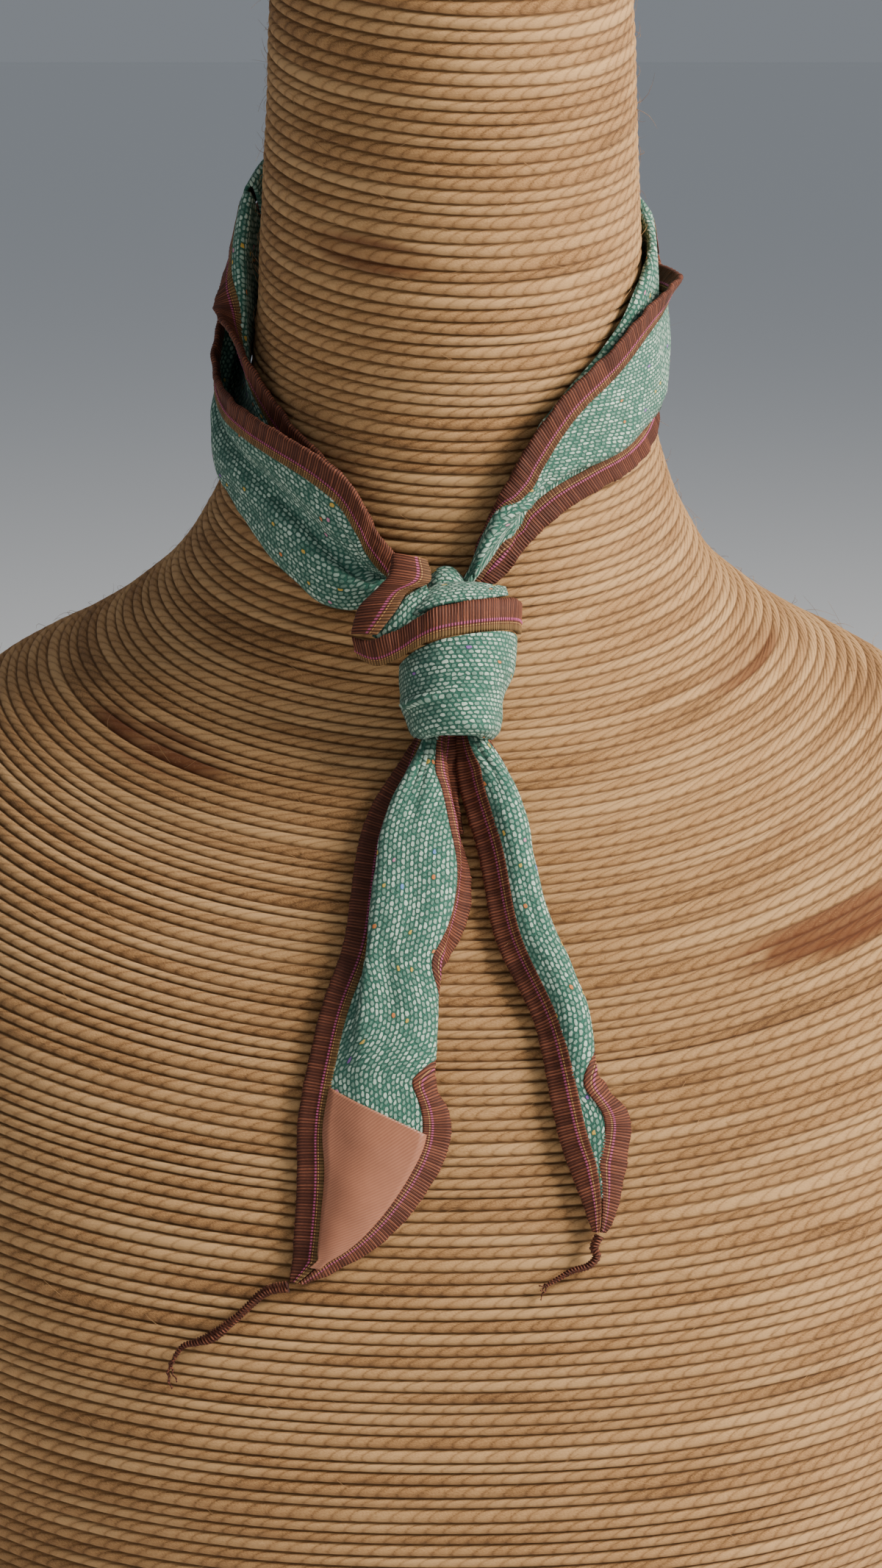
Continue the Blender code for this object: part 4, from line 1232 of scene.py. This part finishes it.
# Darker copies of the thread: painted shade on the right stretch's edges and on the left tail's
# left edge.
EDGE_SHADED = edge_material("edge_shaded", 0.35, 0.78)
EDGE_GOLD_SHADED = edge_material("edge_gold_shaded", 0.9, 0.8)
SATIN = satin_material()

# Heights of the rope's rows: distance down the form, height of a row there
ROW_HEIGHTS = ((0.0, 4.4), (30.0, 3.9), (130.0, 3.6), (200.0, 3.4), (330.0, 3.7), (520.0, 4.3))

# How the rope is wound: its relief, how it tilts, and how uneven its rows are
ROW_SAMPLES = 6
ROPE_SIDES = 168
FORM_RINGS = 320
ROPE_DEPTH = 1.15
ROPE_WAVE = 0.16
ROPE_WAVE_PITCH = 46.0
WIND_TILT = 3.4
TILT_START = 20.0
TILT_FADE = 240.0
SHORTENED_FROM = 150.0
ROW_UNEVEN = 0.12
SWAY = 0.24
CAP_STEP = 4.2
CAP_REACH = 0.97

# Places of the top's and the base's rope among the stains, and the base's coordinates
CAP_PLACE = (180.0, -60.0)
BASE_PLACE = (180.0, 180.0)
BASE_RUN = 900.0
BASE_ROW = 0.4
BASE_RIM = 2.4
BASE_SHARES = (0.995, 1.0, 0.5, 0.02)


def meridians():
    """The form's surface as columns of points from its neck's top to its base.

    The first column is at the middle of the back."""
    rings = as_grid(form_rings(FORM_RINGS, ROPE_SIDES))
    return np.roll(rings, ROPE_SIDES // 2, axis=1).transpose(1, 0, 2)


def row_starts(length):
    """Distances down the form at which each row of rope starts, a little uneven."""
    turns = np.random.default_rng(SEED + 5)
    starts = [0.0]
    places, pitches = zip(*ROW_HEIGHTS)
    while starts[-1] < length:
        pitch = float(np.interp(starts[-1], places, pitches))
        starts.append(starts[-1] + pitch * turns.uniform(1.0 - ROW_UNEVEN, 1.0 + ROW_UNEVEN))
    return starts


def row_sway(line, turn):
    """How far the rows stray down the form at one turn, each in its own way."""
    lower = np.floor(line)
    sways = [
        SWAY * (np.sin(2 * turn + 2.4 * row) + 0.6 * np.sin(5 * turn + 4.1 * row))
        for row in (lower, lower + 1)
    ]
    return sways[0] + (sways[1] - sways[0]) * (line - lower)


def bulge_of(line):
    """The rope's round section: 0 at a row's crest, -1 between two rows."""
    across = (line % 1.0) * 2 - 1
    return np.sqrt(np.clip(1 - across * across, 0.0, 1.0)) - 1.0


def wound_grid():
    """The rope's relief as rings of points, then each ring's row, its distance down
    the form, and the turns of the points."""
    columns = meridians()
    lengths = [distances(column)[-1] for column in columns]
    longest = max(lengths)
    starts = np.array(row_starts(longest))
    line = np.arange(0, (len(starts) - 1) * ROW_SAMPLES + 1) / ROW_SAMPLES
    down = np.interp(line, np.arange(len(starts)), starts)
    turns = 2 * math.pi * np.arange(ROPE_SIDES) / ROPE_SIDES - math.pi
    fade = np.exp(-((down / TILT_FADE) ** 2)) * np.clip(down / TILT_START, 0.0, 1.0)
    grid = np.zeros((len(line), ROPE_SIDES, 3))
    for side, (column, length) in enumerate(zip(columns, lengths)):
        tilt = WIND_TILT * math.sin(turns[side]) * fade + row_sway(line, turns[side])
        shortened = np.interp(down, (SHORTENED_FROM, longest), (1.0, length / longest))
        place = np.clip((down + tilt) * shortened, 0.0, length)
        grid[:, side] = at_distances(column, np.maximum.accumulate(place))
    uneven = waves(down, turns * 90.0, ROPE_WAVE_PITCH, ROPE_WAVE, SEED)
    bulge = bulge_of(line)[:, None]
    grid += outward(grid) * (ROPE_DEPTH * bulge + uneven * (1 + bulge))[:, :, None]
    return grid, line, down, turns


def rope_piece(name, rings, line, place):
    """Rope on rings of points, with how far round its row and where each point is."""
    closed = np.concatenate((rings, rings[:, :1]), axis=1)
    around = summed(closed, 1)
    wind = np.stack((around, np.broadcast_to(line[:, None], around.shape)), axis=-1)
    place = np.broadcast_to(place, closed.shape[:2] + (2,))
    faces = grid_faces(*closed.shape[:2])[:, ::-1]
    item = new_mesh(name, closed, faces, {"wind": wind, "place": place}, ROPE)
    weld(item)
    return item


def form_pieces(grid, line, down, turns):
    """The rope-wound form: three parts of its side, its top and its base."""
    degrees = np.degrees(np.concatenate((turns, [math.pi])))
    place = np.stack(np.broadcast_arrays(degrees[None, :], down[:, None]), axis=-1)
    third = len(line) // (3 * ROW_SAMPLES) * ROW_SAMPLES
    cuts = (0, third, 2 * third, len(line) - 1)
    items = []
    for name, first, last in zip(("rope_neck", "rope_shoulder", "rope_chest"), cuts, cuts[1:]):
        part = slice(first, last + 1)
        items.append(rope_piece(name, grid[part], line[part], place[part]))
    items.append(coil("rope_top", grid[0]))
    items.append(base_plate("rope_base", grid[-1]))
    settle(items[0], ("display_form",))
    for item in items[1:]:
        settle(item, ())


def coil(name, ring):
    """The neck's top: the rope coiled in to its middle."""
    centre = ring.mean(axis=0)
    radius = np.linalg.norm(ring - centre, axis=1).mean()
    rows = int(radius / CAP_STEP)
    line = np.arange(0, rows * ROW_SAMPLES + 1) / ROW_SAMPLES
    share = 1.0 - line / rows * CAP_REACH
    flat = centre + (ring - centre)[None, :, :] * share[:, None, None]
    out = unit(np.cross(ring[1] - ring[0], ring[0] - centre))
    out = out if out[2] > 0 else -out
    points = flat + out * (bulge_of(line) * ROPE_DEPTH)[:, None, None]
    item = rope_piece(name, points, line, CAP_PLACE)
    close_holes(item)
    return item


def base_plate(name, ring):
    """The flat underside that the form stands on."""
    ring = ring.copy()
    ring[:, 2] = -BASE_DEPTH
    centre = ring.mean(axis=0)
    points = np.stack([centre + (ring - centre) * share for share in BASE_SHARES])
    points[0, :, 2] = BASE_RIM - BASE_DEPTH
    closed = np.concatenate((points, points[:, :1]), axis=1)
    rows, columns = closed.shape[:2]
    uv = np.zeros((rows, columns, 2))
    uv[..., 0] = np.linspace(0.0, BASE_RUN, columns)[None, :]
    uv[..., 1] = np.arange(rows)[:, None] * BASE_ROW
    place = np.zeros_like(uv) + BASE_PLACE
    uvs = {"wind": uv, "place": place}
    item = new_mesh(name, closed, grid_faces(rows, columns), uvs, ROPE)
    weld(item)
    return item


# The right stretch at the knot. Columns: distance from its end, how much of the upper
# border shows, share of the section's length that the lower border takes
KNOT_END = (
    (5.0, 0.06, 0.93),
    (16.0, 0.10, 0.55),
    (26.0, 0.50, 0.30),
    (38.0, 1.00, 0.00),
)


def knot_share(rows):
    """How near each row of the right stretch is to the knot: how much of its upper
    border shows, and how much of its length the lower one takes."""
    grid = as_grid(rows)
    run = distances(grid[:, grid.shape[1] // 2])
    near = run if grid[0, :, 2].mean() < grid[-1, :, 2].mean() else run[-1] - run
    places, shown, taken = zip(*KNOT_END)
    return np.interp(near, places, shown), np.interp(near, places, taken)


def strip_grids(rows, tapered, at_knot):
    """A strip's cloth and its two edges as grids."""
    count = len(rows)
    shows, takes = knot_share(rows) if at_knot else (np.ones(count), np.zeros(count))
    last_share = MEETING if tapered else EDGE_SHARE
    cloth = []
    first = []
    second = []
    for index, points in enumerate(rows):
        run = as_run(points)
        length = distances(run)[-1]
        gone = min(1.0, index / (count - 1) / MEET_SHARE)
        share = EDGE_SHARE + (last_share - EDGE_SHARE) * gone
        wide = min(EDGE_WIDTH, share * length, (length - SEAM_COVER) / 2)
        upper = wide * shows[index]
        lower = max(wide, takes[index] * length)
        lower = min(lower, EDGE_WIDTH * WIDEST_EDGE, length - upper - LEAST_SEAM)
        under = min(SEAM_TUCK, upper / 3, 0.1 + (length - upper - lower) / 2)
        across = np.linspace(upper - under, length - lower + under, CLOTH_COLUMNS)
        cloth.append(at_distances(run, across))
        first.append(at_distances(run, STATIONS * upper))
        second.append(at_distances(run, length - STATIONS * lower))
    if tapered:
        cloth = cloth[: int(count * CLOTH_END)]
    return np.array(cloth), np.array(first), np.array(second)


def strip_pieces(name, rows, creases, seed, finishes, held):
    """One stretch of the scarf: its cloth and its two overlocked edges."""
    tapered = held == "hung"
    cloth, first, second = strip_grids(rows, tapered, name == "right_stretch")
    sheet = cloth_piece(name + "_cloth", cloth, CLOTH_STEP, creases, seed, TWEED)
    settle(sheet, (name,))
    for letter, grid, finish in zip("ab", (first, second), finishes):
        node = name + "_edge_" + letter
        edge = edge_piece(node + "_thread", grid, seed + ord(letter), finish, slanted=tapered)
        settle(edge, (node,))


# Creases of each stretch, as read by troughs
LEFT_CREASES = (
    (0.02, 0.30, 0.34, 0.24, 1.4, 2.0),
    (0.05, 0.12, 0.24, 0.06, 1.5, 1.2),
    (0.30, 0.40, 0.52, 0.36, 2.6, 0.7),
    (0.55, 0.10, 0.75, 0.20, 2.8, 0.6),
)
BACK_CREASES = (
    (0.05, 0.30, 0.45, 0.22, 2.4, 0.8),
    (0.50, 0.12, 0.95, 0.26, 2.6, 0.8),
    (0.20, 0.42, 0.70, 0.45, 2.0, 0.5),
)
RIGHT_CREASES = (
    (0.10, 0.30, 0.34, 0.20, 2.0, 0.8),
    (0.36, 0.34, 0.62, 0.16, 2.4, 1.1),
    (0.64, 0.30, 0.84, 0.12, 2.6, 0.8),
)
LEFT_TAIL_CREASES = (
    (0.02, 0.42, 0.20, 0.52, 2.2, 0.8),
    (0.06, 0.66, 0.24, 0.60, 2.0, 0.7),
    (0.30, 0.62, 0.44, 0.68, 2.6, 0.6),
    (0.46, 0.52, 0.60, 0.44, 3.0, 0.8),
)
RIGHT_TAIL_CREASES = (
    (0.02, 0.36, 0.22, 0.30, 1.8, 0.6),
    (0.36, 0.30, 0.52, 0.40, 2.2, 0.6),
)
WRAP_CREASES = (
    (0.51, 0.13, 0.48, 0.41, 0.8, 2.8),
    (0.47, 0.44, 0.56, 0.70, 1.3, 0.7),
    (0.84, 0.22, 0.80, 0.50, 1.8, 0.5),
    (0.66, 0.62, 0.40, 0.90, 2.0, 0.6),
    (0.24, 0.50, 0.20, 0.78, 1.6, 0.5),
)

# The cut of the cloth between its edges, in metres: width, length and area
LEFT_CUT = (0.068, 0.145, 0.0080)
BACK_CUT = (0.070, 0.163, 0.0109)
RIGHT_CUT = (0.115, 0.155, 0.0112)
LEFT_TAIL_CUT = (0.038, 0.190, 0.0044)
RIGHT_TAIL_CUT = (0.020, 0.166, 0.00183)
FOLD_CUT = (0.010, 0.032)
TUCK_CUT = (0.010, 0.011)
INSIDE_CUT = (0.010, 0.022)

# How far stretches go on under what covers their ends
CARRIED_ON = 6.0
JOINT_COVER = 5.0
JOINT_SUNK = 1.2
TO_KNOT = np.array((0.0, 0.0, -1.0))
TO_RIGHT = np.array((1.0, 0.0, 0.0))


def carried_on(rows, toward, length, sunk=0.0):
    """A stretch's rows, the end that lies toward one way carried on by a length and
    sunk a little toward the neck, so that it passes under the next piece."""
    grid = as_grid(rows)
    turned = (grid[0] @ toward).mean() > (grid[-1] @ toward).mean()
    if turned:
        grid = grid[::-1]
    way = unit(np.mean(grid[-1] - grid[-4], axis=0)) * length
    inward = -unit(grid[-1] * np.array((1.0, 1.0, 0.0))) * sunk
    more = np.array([grid[-1] + (way + inward) * share for share in (0.33, 0.66, 1.0)])
    grid = np.concatenate((grid, more))
    return grid[::-1] if turned else grid


def neck_pieces():
    """The scarf's three stretches round the neck."""
    left = sections(LEFT_STRETCH, left_section, COARSE_ROWS)
    back = sections(BACK_STRETCH, left_section, COARSE_ROWS)
    back = carried_on(back, TO_RIGHT, JOINT_COVER, JOINT_SUNK)
    right = sections(RIGHT_STRETCH, right_section, COARSE_ROWS)
    right = carried_on(right, TO_KNOT, CARRIED_ON)
    for name, rows, creases, seed, finish, cut in (
        ("left_stretch", left, LEFT_CREASES, 11, EDGE_GOLD, LEFT_CUT),
        ("back_stretch", back, BACK_CREASES, 23, EDGE_GOLD, BACK_CUT),
        ("right_stretch", right, RIGHT_CREASES, 37, EDGE_SHADED, RIGHT_CUT),
    ):
        finishes = (finish, finish)
        strip_pieces(name, rows, creases, seed, finishes, "folded")


# The left tail's border that turns in between the tails: its reach and how it sits
GAP_LENGTH = 34.0
GAP_WIDTH = 6.5
GAP_STEPS = 24
GAP_COVER = 1.0
GAP_START = 0.8
GAP_SUNK = 0.9
GAP_TAPER_FROM = 0.6
GAP_TAPER = 0.7

# Weights that ease a tail's rims along its length
EASING = (1.0, 2.0, 3.0, 4.0, 3.0, 2.0, 1.0)


def at_height(run, height):
    """The point of a falling run of points at a height."""
    return np.array([np.interp(-height, -run[:, 2], run[:, axis]) for axis in range(3)])


def gap_piece(left, right):
    """The left tail's border where it turns in under the knot, between the tails."""
    first = as_run([points[-1] for points in left])
    second = as_run([points[0] for points in right])
    top = min(first[0, 2], second[0, 2])
    grid = []
    for share in np.linspace(0.0, 1.0, GAP_STEPS):
        start = at_height(first, top - GAP_LENGTH * share)
        end = at_height(second, top - GAP_LENGTH * share)
        side = unit(end - start)
        taper = GAP_TAPER * max(0.0, share - GAP_TAPER_FROM) / (1.0 - GAP_TAPER_FROM)
        wide = min(np.linalg.norm(end - start) + GAP_COVER, GAP_WIDTH) * (1.0 - taper)
        places = side * (wide + GAP_START) * (1.0 - STATIONS)[:, None]
        line = start - side * GAP_START + places
        line[:, 1] += GAP_SUNK
        grid.append(line)
    item = edge_piece("left_tail_turn_thread", np.array(grid), 59, EDGE, KNOT_RAGGED)
    settle(item, ())


def smoothed(rows, times):
    """A strip's rows with sharp turns of its rims eased along its length."""
    grid = as_grid(rows)
    index = np.arange(len(grid))
    half = len(EASING) // 2
    fade = np.clip(np.minimum(index, index[::-1]) / half, 0.0, 1.0)[:, None, None]
    for _ in range(times):
        eased = sum(
            weight / sum(EASING) * grid[np.clip(index + step - half, 0, len(grid) - 1)]
            for step, weight in enumerate(EASING)
        )
        grid = grid + (eased - grid) * fade
    return grid


def tail_pieces():
    """The scarf's two tails and the border that turns in between them."""
    left = sections(LEFT_TAIL, left_tail_section, LEFT_TAIL_ROWS)
    right = sections(RIGHT_TAIL, right_tail_section, RIGHT_TAIL_ROWS)
    gap_piece(left, right)
    for name, rows, creases, seed, finishes, cut in (
        # The left tail's left edge is in a darker copy of the thread: painted shade.
        ("left_tail", smoothed(left, 3), LEFT_TAIL_CREASES, 51, (EDGE_GOLD_SHADED, EDGE), LEFT_TAIL_CUT),
        ("right_tail", smoothed(right, 2), RIGHT_TAIL_CREASES, 67, (EDGE, EDGE), RIGHT_TAIL_CUT),
    ):
        strip_pieces(name, rows, creases, seed, finishes, "hung")


# How the wrap's lower end turns in under the knot, and the wrap's fineness
CURL_RADIUS = 3.4
CURL_STEPS = 7
CURL_TURN = 1.9
CURL_FROM = 5
WRAP_RINGS = 40
WRAP_COLUMNS = 61

# The knot's outline: share of its height, then how wide its left and right are
KNOT_OUTLINE = (
    (0.00, 0.84, 0.80),
    (0.07, 0.91, 0.88),
    (0.18, 0.97, 0.92),
    (0.32, 1.00, 0.91),
    (0.50, 1.00, 0.98),
    (0.66, 1.00, 1.02),
    (1.00, 1.00, 1.00),
)

# The cloth that shows inside the lip; the columns are those of the knot's edge
KNOT_INSIDE = (
    (-24.6, 4.2, 18.2, -22.4, 3.0, 17.6),
    (-18.8, 9.8, 21.0, -16.0, 5.4, 20.2),
    (-14.8, 15.6, 20.6, -11.0, 8.4, 21.6),
    (-9.0, 19.6, 18.6, -6.5, 11.6, 22.4),
)


def ribbon_grid(table, across):
    """A strip of the knot as a grid, at shares of its width."""
    runs = [as_run(points) for points in sections(table, straight_section, COARSE_ROWS)]
    return np.array([at_distances(run, distances(run)[-1] * across) for run in runs])


def curled(grid):
    """The wrap's grid with its lower end turned in under the knot."""
    out = out_of(grid)[0]
    down = unit(grid[0] - grid[2])
    if np.mean(out[:, 1]) > 0:
        out = -out
    extra = []
    for step in range(CURL_STEPS, 0, -1):
        turn = CURL_TURN * step / CURL_STEPS
        sunk = CURL_RADIUS * (1.0 - math.cos(turn))
        extra.append(grid[0] + down * CURL_RADIUS * math.sin(turn) - out * sunk)
    return np.concatenate((np.array(extra), grid))


def outlined(grid):
    """The wrap's grid with its contour drawn in toward the lower end."""
    places, left, right = zip(*KNOT_OUTLINE)
    shares = np.linspace(0.0, 1.0, len(grid))
    left = np.interp(shares, places, left)[:, None]
    right = np.interp(shares, places, right)[:, None]
    middle = (grid[:, :1, 0] + grid[:, -1:, 0]) / 2
    off = grid[:, :, 0] - middle
    grid = grid.copy()
    grid[:, :, 0] = middle + off * np.where(off < 0, left, right)
    return grid


def knot_pieces():
    """The wrap with its edge and lip, and the small folds of cloth round it."""
    last = len(KNOT_WRAP) - 1
    places = [last * step / (WRAP_RINGS - 1) for step in range(WRAP_RINGS)]
    rings = [wrap_row(spline(KNOT_WRAP, place), WRAP_COLUMNS) for place in places]
    grid = curled(outlined(as_grid(rings)[CURL_FROM:]))
    wrap = cloth_piece("knot_wrap_cloth", grid, WRAP_STEP, WRAP_CREASES, 71, TWEED, crosswise=True)
    settle(wrap, ("knot_wrap", "knot_core"))
    for node, table, seed, finish in (
        ("knot_wrap_edge", KNOT_EDGE, 81, EDGE_GOLD),
        ("knot_lip", KNOT_LIP, 83, EDGE_HALF_GOLD),
    ):
        grid = ribbon_grid(table, STATIONS)
        edge = edge_piece(node + "_thread", grid, seed, finish, KNOT_RAGGED)
        settle(edge, (node,))
    for name, table, columns, seed, nodes, flat in (
        ("knot_fold_cloth", KNOT_FOLD, SMALL_COLUMNS, 91, ("knot_fold",), FOLD_CUT),
        ("knot_tuck_cloth", KNOT_TUCK, SMALL_COLUMNS, 91, ("knot_tuck",), TUCK_CUT),
        ("knot_inside_cloth", KNOT_INSIDE, INSIDE_COLUMNS, 93, (), INSIDE_CUT),
    ):
        grid = ribbon_grid(table, np.linspace(0.0, 1.0, columns))
        item = cloth_piece(name, grid, SMALL_STEP, (), seed, TWEED)
        settle(item, nodes)


# The label's grid, and how it sits on the left tail
LABEL_ROWS = 26
LABEL_COLUMNS = 14
LABEL_MARGIN = 0.3
LABEL_OVER = 1.0


def label_piece():
    """The bare satin patch, lifted off the left tail's point."""
    last = len(LEFT_TAIL) - 1
    grid = []
    for row in range(LABEL_ROWS):
        line = []
        for column in range(LABEL_COLUMNS):
            part = column / (LABEL_COLUMNS - 1)
            start = LABEL_SPAN[0] - LABEL_SLANT * (1.0 - part)
            share = start + (LABEL_SPAN[1] - start) * row / (LABEL_ROWS - 1)
            run = as_run(left_tail_section(spline(LEFT_TAIL, share * last)))
            length = distances(run)[-1]
            inner = min(EDGE_WIDTH - LABEL_MARGIN, (length - LABEL_POINT) / 2)
            line.append(at_distances(run, [inner + (length - 2 * inner) * part])[0])
        grid.append(line)
    grid = np.array(grid)
    grid += out_of(grid) * LABEL_OVER
    item = cloth_piece("label_satin", grid, LABEL_STEP, (), 97, SATIN, LABEL_WALL)
    settle(item, ("label",))


# Loose yarn: how it is twisted, its fineness, and where its end starts to fray
YARN_TURNS = 2.6
YARN_STRANDS = 3
YARN_SIDES = 6
YARN_RINGS = 90
YARN_SPREAD = 0.55
YARN_THICK = 0.62
YARN_FRAY_FROM = 0.8
YARN_FRAY = 2.2
YARN_STEP = 0.6


def rings_round(centre, side, other, thick, corners):
    """Rings of a few corners round a run of points."""
    turns = 2 * math.pi * np.arange(corners) / corners
    cosines = np.cos(turns)[None, :, None]
    sines = np.sin(turns)[None, :, None]
    around = side[:, None] * cosines + other[:, None] * sines
    return centre[:, None] + around * thick[:, None, None]


def yarn_piece(node, table, seed):
    """A few strands twisted round one another along a path, frayed at its end."""
    turns = np.random.default_rng(seed)
    path = [(*lay_on(chest_point, x, rise, lift), radius) for x, rise, lift, radius in table]
    last = len(path) - 1
    run = [spline(path, last * step / (YARN_RINGS - 1)) for step in range(YARN_RINGS)]
    run = np.array(run)
    radius = run[:, 3]
    run = run[:, :3]
    along = unit(np.gradient(run, axis=0))
    side = unit(np.cross(along, np.array((0.0, 1.0, 0.0))))
    other = np.cross(along, side)
    length = distances(run)
    frayed = (length / length[-1] - YARN_FRAY_FROM) / (1.0 - YARN_FRAY_FROM)
    loose = np.clip(frayed, 0, 1)[:, None] ** 1.5
    points = []
    for strand in range(YARN_STRANDS):
        angle = (2 * math.pi * (strand / YARN_STRANDS + length / YARN_TURNS))[:, None]
        drift = turns.uniform(-1, 1, 3) * YARN_FRAY
        off = (side * np.cos(angle) + other * np.sin(angle)) * (radius * YARN_SPREAD)[:, None]
        centre = run + off + loose * np.array((drift[0], -abs(drift[1]) * 0.2, drift[2]))
        points.append(rings_round(centre, side, other, radius * YARN_THICK, YARN_SIDES))
    faces = grid_faces(YARN_RINGS, YARN_SIDES, closed=True)
    size = YARN_RINGS * YARN_SIDES
    faces = np.concatenate([faces + strand * size for strand in range(YARN_STRANDS)])
    across = np.arange(YARN_SIDES) * YARN_STEP
    uv = np.stack(np.broadcast_arrays(length[:, None], across[None, :]), axis=-1)
    uv = np.broadcast_to(uv, (YARN_STRANDS, YARN_RINGS, YARN_SIDES, 2))
    item = new_mesh(node + "_yarn", np.array(points), faces, {"weave": uv}, EDGE)
    close_holes(item)
    settle(item, (node,))


# Stray jute fibres: their number, thickness, and the range of their lengths and heights
HAIR_COUNT = 3200
HAIR_THICKNESS = 0.07
HAIR_KNOTS = 5
HAIR_SIDES = 3
HAIR_LENGTHS = (4.0, 13.0)
HAIR_HEIGHTS = (0.5, 1.5)
HAIR_SUNK = 0.2
HAIR_ROWS = (4, 8)
HAIR_RISE = (-0.7, 0.9)
HAIR_BEND_UP = (-0.6, 0.6)
HAIR_BEND_ROUND = (-0.4, 0.4)
HAIR_PLACE = 190.0


def hair_piece(grid):
    """Stray jute fibres that stand off the rope."""
    turns = np.random.default_rng(SEED + 2)
    out = outward(grid)
    points = []
    rows, columns = grid.shape[:2]
    share = np.linspace(0.0, 1.0, HAIR_KNOTS)[:, None]
    thick = HAIR_THICKNESS * (1.1 - share[:, 0] * 0.7)
    for _ in range(HAIR_COUNT):
        row = int(turns.uniform(HAIR_ROWS[0], rows - HAIR_ROWS[1]))
        column = int(turns.uniform(0, columns))
        here = out[row, column]
        start = grid[row, column] - here * HAIR_SUNK
        around = unit(grid[row, (column + 1) % columns] - grid[row, column])
        rise = unit(grid[row - 1, column] - grid[row, column])
        long = turns.uniform(*HAIR_LENGTHS)
        aim = around * turns.choice((-1, 1)) + rise * turns.uniform(*HAIR_RISE)
        bend = rise * turns.uniform(*HAIR_BEND_UP) + around * turns.uniform(*HAIR_BEND_ROUND)
        high = turns.uniform(*HAIR_HEIGHTS)
        place = start + aim * long * share + bend * long * share * share
        place = place + here * (high * np.sin(math.pi * share) + 0.5 * share)
        points.append(rings_round(place, rise[None, :], here[None, :], thick, HAIR_SIDES))
    points = np.array(points)
    faces = grid_faces(HAIR_KNOTS, HAIR_SIDES, closed=True)
    size = HAIR_KNOTS * HAIR_SIDES
    faces = np.concatenate([faces + hair * size for hair in range(HAIR_COUNT)])
    uv = np.zeros((HAIR_COUNT * size, 2)) + 0.5
    uv[:, 0] = np.arange(HAIR_COUNT * size) * 0.3
    uvs = {"wind": uv, "place": uv + HAIR_PLACE}
    settle(new_mesh("rope_fibres", points, faces, uvs, ROPE), ())


# Camera that fits the photograph: pitch down, focal length in its pixels, and the
# point that its middle looks at
CAMERA_PITCH = 13.0
FOCAL_PIXELS = 4400.0
FRAME_HEIGHT = 2133.0
SENSOR = 24.0
LOOK_POINT = (0.0, -0.0565, 0.232)
LOOK_DEPTH = 0.960
LOOK_SHIFT = 3.0 / FOCAL_PIXELS

# Lights: where, size, power, colour
LIGHTS = (
    ("key", (1.15, -0.42, 1.02), 0.6, 45.0, (1.0, 0.95, 0.87)),
    ("fill", (-1.0, -1.6, 0.8), 1.6, 1.5, (1.0, 0.95, 0.9)),
    ("top", (0.5, -0.3, 1.9), 1.2, 5.0, (1.0, 0.98, 0.95)),
)
LIT_POINT = (0, -0.03, 0.24)
SKY_COLOUR = (0.72, 0.78, 0.86, 1)
SKY_STRENGTH = 0.29

# The floor's half width in metres, and its colour
FLOOR_REACH = 60.0
FLOOR_COLOUR = (0.93, 0.93, 0.93, 1)


def camera():
    """The photograph's view of the object."""
    data = bpy.data.cameras.new("view")
    data.sensor_fit = "VERTICAL"
    data.sensor_height = SENSOR
    data.lens = SENSOR * FOCAL_PIXELS / FRAME_HEIGHT
    item = bpy.data.objects.new("view", data)
    pitch = math.radians(CAMERA_PITCH)
    forward = Vector((0, math.cos(pitch), -math.sin(pitch)))
    item.location = Vector(LOOK_POINT) - (forward + Vector((LOOK_SHIFT, 0, 0))) * LOOK_DEPTH
    item.rotation_euler = (math.pi / 2 - pitch, 0, 0)
    bpy.context.scene.collection.objects.link(item)
    bpy.context.scene.camera = item


def lights():
    """Soft studio light: three areas and a plain pale sky."""
    for name, place, size, power, colour in LIGHTS:
        data = bpy.data.lights.new(name, "AREA")
        data.energy = power
        data.size = size
        data.color = colour
        item = bpy.data.objects.new(name, data)
        item.location = place
        aim = Vector(LIT_POINT) - Vector(place)
        item.rotation_euler = aim.to_track_quat("-Z", "Y").to_euler()
        bpy.context.scene.collection.objects.link(item)
    world = bpy.data.worlds.new("studio")
    world.use_nodes = True
    background = world.node_tree.nodes["Background"]
    background.inputs[0].default_value = SKY_COLOUR
    background.inputs[1].default_value = SKY_STRENGTH
    bpy.context.scene.world = world


def floor():
    """A plain pale floor, far wider than the view."""
    corners = ((-1, -1), (1, -1), (1, 1), (-1, 1))
    points = [(x * FLOOR_REACH, y * FLOOR_REACH, 0) for x, y in corners]
    mesh = bpy.data.meshes.new("floor")
    mesh.from_pydata(points, [], [(0, 1, 2, 3)])
    item = bpy.data.objects.new("floor", mesh)
    bpy.context.scene.collection.objects.link(item)
    values = {"Base Color": FLOOR_COLOUR, "Roughness": 0.8}
    mesh.materials.append(finished(new_material("floor"), values))


rope = wound_grid()
form_pieces(*rope)
neck_pieces()
tail_pieces()
knot_pieces()
label_piece()
yarn_piece("left_thread", LEFT_THREAD, 5)
yarn_piece("right_thread", RIGHT_THREAD, 9)
hair_piece(rope[0])
camera()
lights()
floor()
